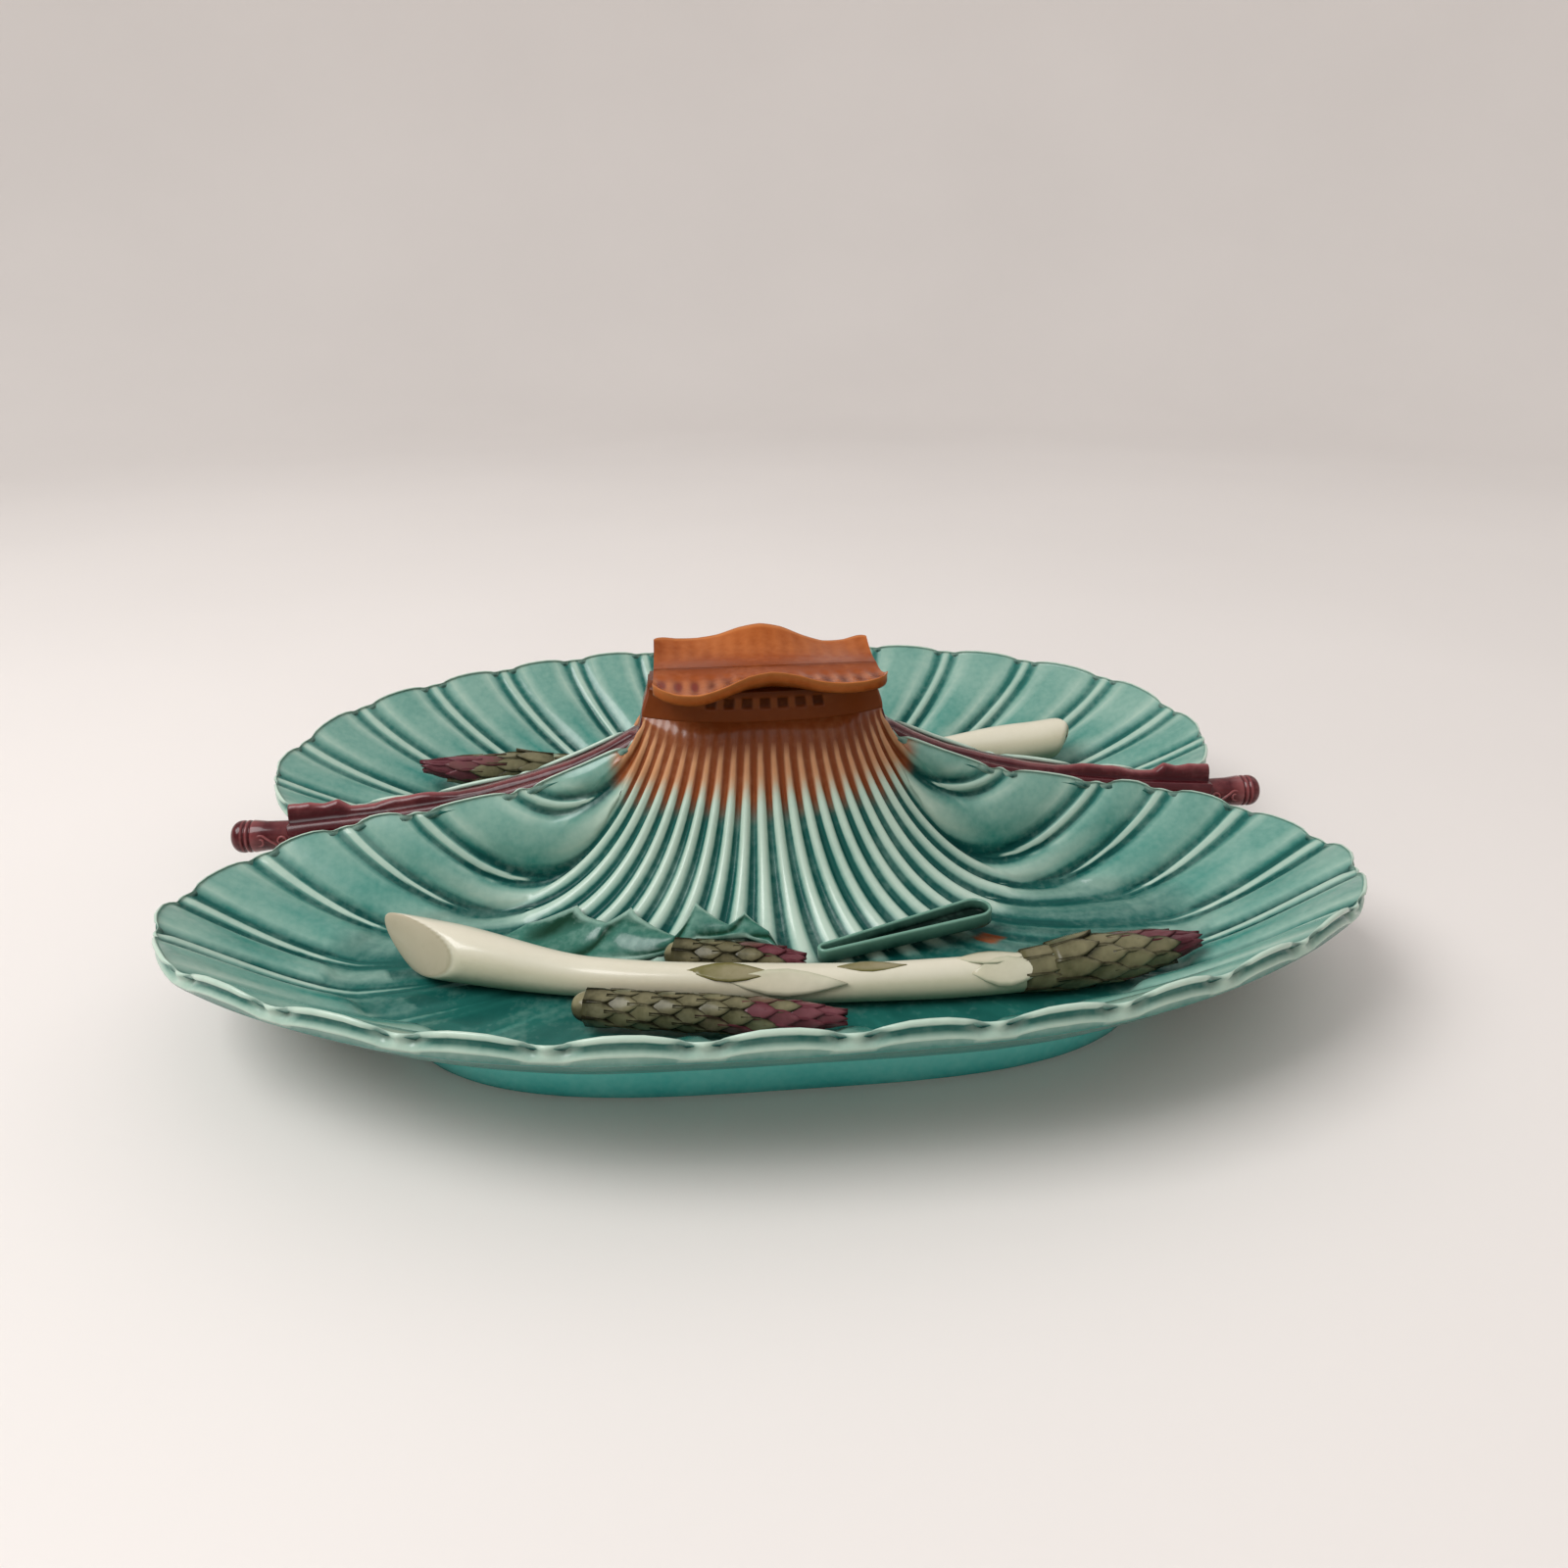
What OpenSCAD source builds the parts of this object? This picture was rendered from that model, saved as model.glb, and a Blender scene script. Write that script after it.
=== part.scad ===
// Asparagus plate of glazed earthenware: two scallop shells back to back on one foot ring, with a
// ridge of moulding between them and a fluted open scroll as the handle. Spears, a leaf and a
// hollow stalk lie in each well. Millimetres, +Z up, origin on the table under the middle of the plate.

/* [Shells] */
// Half the length of a shell, from its middle to its end
shell_half_l = 181; // [165:1:195]
// Reach of a shell, from the middle plane to its front rim
shell_reach = 149; // [136:1:160]
// Height of the rim at the front
rim_h = 47.5; // [43:0.5:52]
// Height of the flat floor of the well
floor_h = 12.5; // [11:0.5:14]
// Thickness of the shell
wall = 5; // [4:0.5:6]
// Width over which the back wall falls from the neck to the floor
neck_fall_w = 66; // [60:1:72]
// Width over which the rim falls to the floor
rim_fall_w = 52; // [46:1:56]

/* [Neck and ribs] */
// Height at which the ribs leave the neck
neck_h = 73; // [68:0.5:78]
// Half the length of the neck
neck_half_l = 40; // [37:0.5:43]
// Reach of the neck, from the middle plane to its front face
neck_reach = 15.5; // [14:0.5:17]
// Reach of the straight ridge edge of a shell, from the middle plane
ridge_reach = 6; // [5:0.5:7]
// Height of the ribs where they leave the neck
rib_neck_h = 1.1; // [0.6:0.1:1.4]
// Height of the broad ribs at the rim
rib_rim_h = 2.4; // [1.6:0.1:2.8]
// Height of the thin ridge between two broad ribs
thin_ridge_h = 1.6; // [1:0.1:2]
// Width of the ribs at which the thin ridge between them is full
thin_ridge_span = 30; // [24:1:34]
// Sideways drift of the middle ribs at the front rim
rib_drift_w = 10; // [0:1:12]

/* [Foot] */
// Half the length of the foot ring
foot_half_l = 124; // [115:1:130]
// Reach of the foot ring, from the middle plane
foot_reach = 111; // [104:1:114]
// Thickness of the foot ring
foot_t = 6; // [5:0.5:8]
// How far the foot ring draws in from its top to the table
foot_draw = 2; // [0:0.5:4]

/* [Handle] */
// Height of the handle's neck block
block_h = 10.5; // [9:0.5:12]
// Length of the neck block's top as a share of its foot
block_taper = 0.95; // [0.9:0.01:1]
// Half the length of the lips
lip_half_l = 37; // [34:0.5:39]
// Reach of a lip, from the middle plane to its edge
lip_reach = 27; // [24:0.5:30]
// Thickness of the lips
lip_t = 4; // [3:0.5:5]
// Height of the valley between the lips above the neck block
lip_valley_h = 3.5; // [3:0.25:4.5]
// Height of the middle wave of a lip's edge above the valley
lip_wave_h = 7; // [5:0.5:8]
// Sideways place of the handle from the middle of the plate
handle_off = 1.5; // [0:0.5:2]
// Length of one recess in the row under a lip
recess_l = 4; // [3:0.25:4.5]
// Height of the recesses
recess_h = 3.5; // [2.5:0.25:4.5]
// Depth of the recesses
recess_d = 1; // [0.5:0.25:2]

/* [Ridge band] */
// Greatest height of the crest above the ridge edges
crest_h = 6; // [4:0.5:7]
// Width of the crest
crest_w = 5; // [4:0.5:7]
// Depth of the band below the ridge edges
band_d = 8; // [6:0.5:9]
// Radius of the end knob
knob_r = 5.5; // [4.5:0.25:6]
// Length of the end knob
knob_l = 20; // [17:0.5:22]

/* [Spears] */
// Length of the front shell's long spear
spear_l = 238; // [222:1:244]
// Length of the rear shell's long spear
rear_spear_l = 259; // [240:1:262]
// Diameter of a long spear at its butt
butt_d = 17.5; // [16:0.5:18]
// Diameter of a long spear at its middle
stem_d = 11.5; // [10.5:0.5:12.5]
// Diameter of a long spear at its scaly head
head_d = 14; // [13:0.5:15]
// Bow of the long spears
spear_bow_w = 16; // [12:0.5:18]
// Length of the short spear behind the long one
back_spear_l = 40; // [34:1:44]
// Length of the short spear in front of the long one
low_spear_l = 76; // [66:1:80]
// Diameter of the short spears
short_spear_d = 9.5; // [8.5:0.5:10.5]

/* [Leaf and stalk] */
// Thickness of the leaf
leaf_t = 2.2; // [1.8:0.1:3]
// Length of the hollow stalk
stalk_l = 59; // [50:1:62]
// Width of the hollow stalk at its open end
stalk_w = 11; // [9:0.5:12]
// Wall of the hollow stalk
stalk_wall = 1.8; // [1.4:0.1:2.2]

/* [Hidden] */

// Clear gap under a sprig that lies in a well
sprig_gap = 0.45;
// Overrun of every cut
over = 1;
// Facets of a full circle
facets = 32;

// Broad ribs on each half of a shell
ribs = 12;
// Angle through which the ribs turn about the neck's end
neck_turn = 60;
// Lean of a rib where it leaves the neck: in step with its number, and towards the end of the neck
lean_even = 50;
lean_end = 40;
// Shares of the course of a rib that its two control points reach
leave_share = 0.5;
arrive_share = 0.17;
// Share by which a side rib arrives along its own course and not square to the rim
glance_share = 0.6;
// Shapes of the two falls of the well's wall
neck_fall_share = 0.85;
neck_fall_power = 2.1;
rim_fall_power = 1.4;

// Outline of half a shell's rim, from the neck's end round to the front. Shares of: neck half length,
// shell half length, reach beyond the ridge edge, rim height, and neck height above the rim.
outline_shares = [
    [1.0, 0.011, 0.000, 1.000, 0.72],
    [0.6, 0.221, 0.000, 1.000, 0.29],
    [0.2, 0.492, 0.000, 0.940, 0.05],
    [0.0, 0.724, 0.000, 0.863, 0.00],
    [0.0, 0.867, 0.049, 0.780, 0.00],
    [0.0, 0.950, 0.135, 0.735, 0.00],
    [0.0, 1.000, 0.343, 0.780, 0.00],
    [0.0, 0.928, 0.580, 0.885, 0.00],
    [0.0, 0.829, 0.706, 0.937, 0.00],
    [0.0, 0.696, 0.818, 0.968, 0.00],
    [0.0, 0.541, 0.909, 0.980, 0.00],
    [0.0, 0.365, 0.972, 0.990, 0.00],
    [0.0, 0.177, 0.997, 1.000, 0.00],
    [0.0, 0.000, 1.000, 1.000, 0.00]];
// Share of the half rim at which each valley between two broad ribs arrives, from the front to the neck
valley_shares = [0, 0.087, 0.174, 0.26, 0.347, 0.434, 0.52, 0.59, 0.67, 0.74, 0.80, 0.89, 1];
// Points of one rib across its width, as shares of that width
across_shares = [0, 0.13, 0.23, 0.5, 0.77, 0.87];
// Rows of the upper side and of the underside, as shares of a rib's course
top_row_shares = [0, 0.06, 0.12, 0.19, 0.28, 0.38, 0.5, 0.63, 0.76, 0.86, 0.93, 0.97, 1];
under_row_shares = [0, 0.1, 0.22, 0.38];
steps_per_point = 5;
// Half width of a valley as a share of the rib, and share of the wall's height over which ribs rise
valley_share = 0.12;
rib_rise_share = 0.12;

function mix(a, b, t) = a + (b - a)*t;
function clamp(v, lo, hi) = max(lo, min(hi, v));
function smooth(t) = let (c = clamp(t, 0, 1)) c*c*(3 - 2*c);
function unit(v) = v/max(norm(v), 0.000001);
function flip(p) = [-p[0], p[1], p[2]];
function curve_point(a, b, c, d, t) =
    0.5*(2*b + (c - a)*t + (2*a - 5*b + 4*c - d)*t*t + (3*b - a - 3*c + d)*t*t*t);

// The rim as a run of points: reach forward of the middle plane is counted positive here.
half_rim = [for (s = outline_shares)
    [neck_half_l*s[0] + shell_half_l*s[1], ridge_reach + (shell_reach - ridge_reach)*s[2],
     rim_h*s[3] + (neck_h - rim_h)*s[4]]];
rim_marks = concat(half_rim, [for (i = [len(half_rim) - 2 : -1 : 0]) flip(half_rim[i])]);
last_mark = len(rim_marks) - 1;
rim_points = [for (i = [0 : last_mark - 1], k = [0 : steps_per_point - 1])
    let (p = curve_point(rim_marks[max(i - 1, 0)], rim_marks[i], rim_marks[i + 1],
                         rim_marks[min(i + 2, last_mark)], k/steps_per_point))
    [p[0], max(p[1], ridge_reach), p[2]]];
rim_line = concat(rim_points, [rim_marks[last_mark]]);
rim_runs = [for (i = 0, s = 0; i < len(rim_line);
                 s = i + 1 < len(rim_line) ? s + norm(rim_line[i + 1] - rim_line[i]) : s, i = i + 1) s];
half_run = rim_runs[(len(half_rim) - 1)*steps_per_point];
rim_tables = [for (a = [0 : 2]) [for (i = [0 : len(rim_line) - 1]) [rim_runs[i], rim_line[i][a]]]];
valley_table = [for (k = [0 : ribs]) [k, valley_shares[k]*half_run]];

// Height of the straight ridge edge at a place along it
ridge_table = [for (i = [0 : 4*steps_per_point]) [rim_line[i][0], rim_line[i][2]]];
function ridge_z(x) = lookup(x, ridge_table);
function rim_at(run) = [for (a = [0 : 2]) lookup(run, rim_tables[a])];
function drift_at(q) = rib_drift_w*pow(max(0, 1 - pow(2*q/ribs, 2)), 2);
function run_at(q) = half_run - sign(q)*lookup(abs(q), valley_table) - drift_at(q);
function neck_at(q) = let (a = neck_turn*q/ribs)
    [neck_half_l*sin(a)/sin(neck_turn),
     neck_reach - (neck_reach - ridge_reach)*(1 - cos(a))/(1 - cos(neck_turn)), neck_h];

// One rib's course: its neck point, its rim point and the two control points between, in plan.
function course(q) =
    let (t = q/ribs, start = neck_at(q), run = run_at(q), stop = rim_at(run),
         ahead = rim_at(run + wall) - rim_at(run - wall),
         out = unit([ahead[1], -ahead[0]]),
         chord = [stop[0] - start[0], stop[1] - start[1]], reach = norm(chord),
         lean = lean_even*t + lean_end*t*t*t,
         arrive = unit(mix(out, chord/max(reach, 0.000001), glance_share*abs(t))))
    [[start[0], start[1]],
     [start[0], start[1]] + leave_share*reach*[sin(lean), cos(lean)],
     [stop[0], stop[1]] - arrive_share*reach*arrive,
     [stop[0], stop[1]], start[2], stop[2]];
function plan_at(c, v) = let (u = 1 - v)
    u*u*u*c[0] + 3*u*u*v*c[1] + 3*u*v*v*c[2] + v*v*v*c[3];
function neck_fall(d) = pow(max(0, 1 - pow(d/neck_fall_w, neck_fall_share)), neck_fall_power);
function rim_fall(d) = pow(max(0, 1 - d/rim_fall_w), rim_fall_power);
function settle(f, end) = (f - end)/(1 - end);
function base_at(c, v) =
    let (p = plan_at(c, v), whole = norm(c[3] - c[0]),
         from_neck = settle(neck_fall(norm(p - c[0])), neck_fall(whole)),
         from_rim = settle(rim_fall(norm(p - c[3])), rim_fall(whole)))
    [p[0], max(p[1], ridge_reach),
     floor_h + (c[4] - floor_h)*from_neck + (c[5] - floor_h)*from_rim];

// Height of the moulding over the plain well: broad ribs with a thin ridge in each valley.
function rib_h(q, v, span, plain_z) =
    let (phase = q - floor(q), grown = smooth((span - 4*rib_neck_h)/thin_ridge_span),
         valley = valley_share*grown, side = abs(2*phase - 1)/(1 - 2*valley),
         arch = max(0, 1 - pow(min(side, 1), mix(2, 3, grown))),
         tall = mix(rib_neck_h, rib_rim_h, smooth(span/thin_ridge_span)),
         near = min(phase, 1 - phase)/max(valley, 0.001),
         thin = thin_ridge_h*grown*smooth(1 - near)*(1 - smooth((v - 0.94)/0.06)),
         ends = smooth(v/0.04), rise = smooth((plain_z - floor_h)/(rib_rise_share*(rim_h - floor_h))))
    (tall*arch + thin)*ends*rise;

// Direction in which the shell's thickness lies: inwards at the neck, down at the rim, square between.
function under_way(q, v, square) =
    let (t = abs(q)/ribs, turn = 90*pow(t, 1.5)*sign(q), edge = pow(t, 6))
    unit((1 - v)*(1 - v)*[-sin(turn), -cos(turn), 0] + v*v*[0, 0, -1]
         + 2*v*(1 - v)*(1 - edge)*[square[0], square[1]*(1 - smooth((t - 0.55)/0.3)), square[2]]);

across = len(across_shares);
columns = [for (k = [-ribs : ribs - 1], s = across_shares) k + s];
top_columns = concat(columns, [ribs]);
courses = [for (q = top_columns) course(q)];
under_step = across/2;
under_columns = [for (i = [0 : under_step : len(top_columns) - 1]) i];

function base_normal(i, v) =
    let (e = 0.02, c = courses[i], a = courses[max(i - 1, 0)], b = courses[min(i + 1, len(courses) - 1)],
         lo = max(v - e, 0), hi = min(v + e, 1))
    unit(cross(base_at(b, v) - base_at(a, v), base_at(c, hi) - base_at(c, lo)));
function upright(n) = n[2] < 0 ? -n : n;
function span_at(i, v) =
    let (a = max(i - across/2, 0), b = min(i + across/2, len(courses) - 1))
    norm(plan_at(courses[b], v) - plan_at(courses[a], v))*across/(b - a);
function top_at(i, v) =
    let (b = base_at(courses[i], v), n = upright(base_normal(i, v)),
         way = unit(mix(n, [0, 0, 1], v*v)),
         p = b + rib_h(top_columns[i], v, span_at(i, v), b[2])*way)
    [p[0], max(p[1], ridge_reach), min(p[2], neck_h)];
function under_at(i, v) =
    let (b = base_at(courses[i], v), p = b + wall*under_way(top_columns[i], v, -upright(base_normal(i, v))))
    [p[0], max(p[1], ridge_reach), min(p[2], neck_h)];

// Where a rib's course crosses the foot's outline, as a share of the course.
foot_power = 3.4;
// Highest rib number over the foot ring, and the clear gap between its ends and the ridge band
foot_columns = 9.5;
foot_end_gap = 0.5;
function outside(p, half_l, reach) =
    pow(abs(p[0])/half_l, foot_power) + pow(abs(p[1])/reach, foot_power) > 1;
function crossing(i, half_l, reach, lo = 0.38, hi = 1, n = 12) =
    n == 0 ? (lo + hi)/2
    : outside(under_at(i, (lo + hi)/2), half_l, reach)
        ? crossing(i, half_l, reach, lo, (lo + hi)/2, n - 1)
        : crossing(i, half_l, reach, (lo + hi)/2, hi, n - 1);
foot_crossings = [for (i = under_columns)
    [crossing(i, foot_half_l - foot_t, foot_reach - foot_t), crossing(i, foot_half_l, foot_reach)]];
function under_rows(k) = concat(under_row_shares, foot_crossings[k], [1]);

function facing(p) = [p[0], -p[1], p[2]];
function strip(a, b, c, d) = [[a, b, c], [a, c, d]];

module shell_solid() {
    nt = len(top_columns);
    nr = len(top_row_shares);
    nu = len(under_columns);
    nv = len(under_row_shares) + 3;
    top = [for (i = [0 : nt - 1], v = top_row_shares) facing(top_at(i, v))];
    under = [for (k = [0 : nu - 1], v = under_rows(k)) facing(under_at(under_columns[k], v))];
    first = len(top);
    function t_at(i, j) = i*nr + j;
    function u_at(k, j) = first + k*nv + j;
    top_faces = [for (i = [0 : nt - 2], j = [0 : nr - 2])
        each strip(t_at(i, j), t_at(i + 1, j), t_at(i + 1, j + 1), t_at(i, j + 1))];
    under_faces = [for (k = [0 : nu - 2], j = [0 : nv - 2])
        each strip(u_at(k, j), u_at(k, j + 1), u_at(k + 1, j + 1), u_at(k + 1, j))];
    // The rim and the neck edge fan from each underside point to the upper points over it.
    rim_faces = [for (k = [0 : nu - 2]) each concat(
        [for (s = [0 : under_step - 1])
            [u_at(k, nv - 1), t_at(k*under_step + s, nr - 1), t_at(k*under_step + s + 1, nr - 1)]],
        [[u_at(k, nv - 1), t_at((k + 1)*under_step, nr - 1), u_at(k + 1, nv - 1)]])];
    neck_faces = [for (k = [0 : nu - 2]) each concat(
        [for (s = [0 : under_step - 1])
            [u_at(k, 0), t_at(k*under_step + s + 1, 0), t_at(k*under_step + s, 0)]],
        [[u_at(k, 0), u_at(k + 1, 0), t_at((k + 1)*under_step, 0)]])];
    side_a = concat([for (j = [0 : nr - 1]) t_at(0, j)], [for (j = [nv - 1 : -1 : 0]) u_at(0, j)]);
    side_b = concat([for (j = [nr - 1 : -1 : 0]) t_at(nt - 1, j)],
                    [for (j = [0 : nv - 1]) u_at(nu - 1, j)]);
    polyhedron(concat(top, under),
               concat(top_faces, under_faces, rim_faces, neck_faces, [side_a, side_b]), convexity = 10);
}
module front_shell() { color("turquoise") shell_solid(); }
module rear_shell() { color("turquoise") rotate([0, 0, 180]) shell_solid(); }

// The foot's top follows the very points of the shells' underside, so that it meets them face to face.
module foot_ring() {
    reach_columns = [for (k = [0 : len(under_columns) - 1])
        if (abs(top_columns[under_columns[k]]) <= foot_columns
            && outside(under_at(under_columns[k], 1), foot_half_l, foot_reach)) k];
    half = [for (k = reach_columns) let (i = under_columns[k], in = foot_crossings[k][0],
                                         out = foot_crossings[k][1]) [under_at(i, in), under_at(i, out)]];
    end_z = ridge_z(foot_half_l) - band_d - foot_end_gap;
    ends = [[foot_half_l - foot_t, 0, end_z], [foot_half_l, 0, end_z]];
    front = concat([for (h = half) [facing(h[0]), facing(h[1])]], [ends]);
    ring = concat(front, [for (h = front) [[-h[0][0], -h[0][1], h[0][2]], [-h[1][0], -h[1][1], h[1][2]]]]);
    n = len(ring);
    draw = 1 - foot_draw/foot_reach;
    points = [for (h = ring) each [h[0], h[1], [h[1][0]*draw, h[1][1]*draw, 0],
                                   [h[0][0]*draw, h[0][1]*draw, 0]]];
    faces = [for (k = [0 : n - 1], s = [0 : 3])
        let (a = 4*k, b = 4*((k + 1)%n), t = (s + 1)%4) each strip(a + s, b + s, b + t, a + t)];
    color("teal") polyhedron(points, faces, convexity = 10);
}

// The neck block closes the two necks: its outline is that of both necks together.
neck_front = [for (q = [-ribs : ribs]) let (p = neck_at(q)) [p[0], -p[1]]];
neck_outline = concat(neck_front, [for (p = neck_front) -p]);
block_top = neck_h + block_h;
recesses = 9;
module recess_row() {
    step = (2*lip_half_l - 4*recess_l)/recesses;
    face = neck_reach*mix(1, block_taper, 1 - recess_h/block_h);
    for (k = [0 : recesses - 1])
        translate([handle_off + (k - (recesses - 1)/2)*step - recess_l/2, -face - over,
                   block_top - recess_h - recess_d])
            cube([recess_l, recess_d + over, recess_h]);
}
module handle_block() {
    color("peru") difference() {
        translate([0, 0, neck_h]) linear_extrude(block_h, scale = block_taper) polygon(neck_outline);
        recess_row();
        rotate([0, 0, 180]) recess_row();
    }
}

// One lip: a wavy sheet that leaves the valley, dips and rises to its edge.
// Height of the edge above the valley along its length, as shares of the middle wave.
wave_shares = [0.4, 0, -0.05, 0.3, 0.8, 1, 0.82, 0.46, 0.32, 0.35, 0.56];
// Dip of the lip between the valley and its edge
lip_dip = 0.8;
lip_across = [0, 0.22, 0.45, 0.7, 0.88, 1];
lip_steps = 20;
wave_table = [for (k = [0 : len(wave_shares) - 1]) [k/(len(wave_shares) - 1), wave_shares[k]]];
valley_z = block_top + lip_valley_h;
function lip_top(s, t) =
    let (wave = lip_wave_h*lookup(s, wave_table), out = lip_reach*(1 - 0.06*pow(2*s - 1, 4)))
    [handle_off + lip_half_l*(2*s - 1), -out*t, valley_z + wave*pow(t, 1.8) - lip_dip*sin(180*t)];
module lip() {
    m = len(lip_across);
    flat_z = block_top;
    top = [for (k = [0 : lip_steps], t = lip_across) lip_top(k/lip_steps, t)];
    low = [for (k = [0 : lip_steps], t = lip_across) let (p = lip_top(k/lip_steps, t))
        [p[0], p[1], -p[1] <= neck_reach ? flat_z : max(flat_z - lip_t, p[2] - mix(lip_valley_h, lip_t, t))]];
    first = len(top);
    faces = concat(
        [for (k = [0 : lip_steps - 1], j = [0 : m - 2])
            each strip(k*m + j, (k + 1)*m + j, (k + 1)*m + j + 1, k*m + j + 1)],
        [for (k = [0 : lip_steps - 1], j = [0 : m - 2])
            each strip(first + k*m + j, first + k*m + j + 1, first + (k + 1)*m + j + 1,
                       first + (k + 1)*m + j)],
        [for (k = [0 : lip_steps - 1])
            each strip(k*m + m - 1, (k + 1)*m + m - 1, first + (k + 1)*m + m - 1, first + k*m + m - 1)],
        [for (k = [0 : lip_steps - 1])
            each strip((k + 1)*m, k*m, first + k*m, first + (k + 1)*m)],
        [for (j = [0 : m - 2]) each strip(j, j + 1, first + j + 1, first + j)],
        [for (j = [0 : m - 2]) let (e = lip_steps*m)
            each strip(e + j + 1, e + j, first + e + j, first + e + j + 1)]);
    polyhedron(concat(top, low), faces, convexity = 6);
}
module front_lip() { color("peru") lip(); }
module rear_lip() { color("peru") translate([2*handle_off, 0, 0]) rotate([0, 0, 180]) lip(); }

// The ridge band fills the gap between the two straight ridge edges and runs on into the notch at the
// plate's end. Its crest is a narrow wavy bead: a thin line, a long swelling and a high collar.
end_gap = 1.5;
knob_start = shell_half_l - end_gap - knob_l;
knob_rise_share = 0.7;
knob_z = rim_h*knob_rise_share;
band_run = rim_runs[3*steps_per_point];
band_marks = 30;
band_line = concat([for (k = [0 : band_marks]) let (p = rim_at(k/band_marks*band_run)) [p[0], p[2]]],
                   [[knob_start, knob_z + knob_r]]);
band_low = [for (k = [len(band_line) - 1 : -1 : 0])
    band_line[k] - [0, k > band_marks ? 2*knob_r : band_d]];
// Crest height along the band: [share of the way out, share of the greatest height]
crest_shares = [[0, 0.2], [0.52, 0.25], [0.6, 0.55], [0.7, 0.62], [0.76, 0.4], [0.83, 0.45], [0.86, 0.9],
                [0.9, 0.82], [0.94, 1], [0.97, 0.9], [1, 0.95]];
crest_steps = 40;
function band_z(x) = lookup(x, band_line);
crest_line = [for (k = [0 : crest_steps]) let (x = mix(band_line[0][0], knob_start, k/crest_steps))
    [x, band_z(x) + crest_h*lookup(k/crest_steps, crest_shares)]];
module band_solid() {
    rotate([90, 0, 0]) {
        translate([0, 0, -ridge_reach]) linear_extrude(2*ridge_reach)
            polygon(concat([[neck_half_l - wall, neck_h]], band_line, band_low,
                           [[neck_half_l - wall, neck_h - band_d]]));
        translate([0, 0, -crest_w/2]) linear_extrude(crest_w)
            polygon(concat(crest_line, [for (k = [len(band_line) - 1 : -1 : 0]) band_line[k] - [0, over]]));
    }
}
module right_ridge_band() { color("maroon") band_solid(); }
module left_ridge_band() { color("maroon") rotate([0, 0, 180]) band_solid(); }

// The end knob: a turned stub with two ring lines and a round end.
ring_w = 1.2;
ring_d = 0.6;
knob_steps = 8;
module knob_solid() {
    stem = knob_l - knob_r;
    ring_low = knob_r - ring_d;
    rings = [for (k = [2, 1]) let (a = stem - 2*k*ring_w) each
        [[knob_r, a], [ring_low, a], [ring_low, a + ring_w], [knob_r, a + ring_w]]];
    dome = [for (k = [0 : knob_steps]) let (w = 90*k/knob_steps) [knob_r*cos(w), stem + knob_r*sin(w)]];
    translate([knob_start, 0, knob_z]) rotate([0, 90, 0]) rotate_extrude($fn = facets)
        polygon(concat([[0, 0], [knob_r, 0]], rings, dome));
}
module right_end_knob() { color("maroon") knob_solid(); }
module left_end_knob() { color("maroon") rotate([0, 0, 180]) knob_solid(); }

// A spear lies along an arc in plan: a stout butt cut aslant, a thinner stem and a scaly head. Each row
// of scales widens to its free edge. A ring is [share of the length, radius, height of its centre].
spear_sides = 12;
head_rows = 6;
stem_rings = 8;
butt_share = 0.07;
taper_share = 0.19;
aslant_share = 0.35;
function bud(t) = pow(max(0, 1 - pow(t, 3.6)), 0.6);
function spear_rings(butt, stem, head, head_share) = concat(
    [for (k = [0 : stem_rings])
        let (s = k/stem_rings*(1 - head_share), r = mix(butt, stem, smooth((s - butt_share)/taper_share))/2)
        [s, k == 0 ? r*0.92 : r, r]],
    [for (k = [0 : head_rows - 1], e = [0.04, 0.94])
        let (t = (k + e)/head_rows, r = mix(stem, head, smooth(3*t))/2)
        [1 - head_share + head_share*t, r*bud(t)*(e < 0.5 ? 0.97 : 1.1), r]]);
module spear_solid(l, butt, stem, head, bow, head_share, lift) {
    rings = spear_rings(butt, stem, head, head_share);
    points = [for (g = rings, a = [0 : spear_sides - 1])
        let (s = g[0] - 0.5, turn = atan(8*bow*s/l), r = g[1], w = 360*a/spear_sides,
             cut = g[0] == 0 ? -aslant_share*butt*cos(w) : 0)
        [l*s + r*cos(w)*sin(-turn) + cut, -bow*(1 - 4*s*s) + r*cos(w)*cos(turn),
         max(g[2] + r*sin(w), 0) + lift*pow(2*s, 6)]];
    n = spear_sides;
    m = len(rings);
    polyhedron(points, concat(
        [for (k = [0 : m - 2], a = [0 : n - 1])
            each strip(k*n + a, (k + 1)*n + a, (k + 1)*n + (a + 1)%n, k*n + (a + 1)%n)],
        [[for (a = [0 : n - 1]) a], [for (a = [n - 1 : -1 : 0]) (m - 1)*n + a]]), convexity = 4);
}
// Places of the sprigs: [share of a shell's half length, share of its reach, turn]
front_spear_place = [0.016, 0.46, -5.4];
rear_spear_place = [-0.008, 0.475, 0];
back_spear_place = [-0.084, 0.466, -10.5];
low_spear_place = [-0.127, 0.655, -10];
stalk_place = [0.218, 0.409, 16];
// Height of the well with its ribs at a place in plan: the place's rib and course are searched for.
search_rounds = 7;
search_step = 0.05;
function well_at(place, q = 0, v = 0.4, n = search_rounds) =
    let (c = course(q), p = plan_at(c, v),
         a = (plan_at(course(q + search_step), v) - p)/search_step,
         b = (plan_at(c, v + search_step) - p)/search_step,
         g = place - p, det = a[0]*b[1] - a[1]*b[0], z = base_at(c, v)[2])
    n == 0 ? z + rib_h(q, v, norm(plan_at(course(q + 0.5), v) - plan_at(course(q - 0.5), v)), z)
    : well_at(place, clamp(q + (g[0]*b[1] - g[1]*b[0])/det, search_step - ribs, ribs - search_step),
              clamp(v + (a[0]*g[1] - a[1]*g[0])/det, search_step, 1 - search_step), n - 1);
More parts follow.
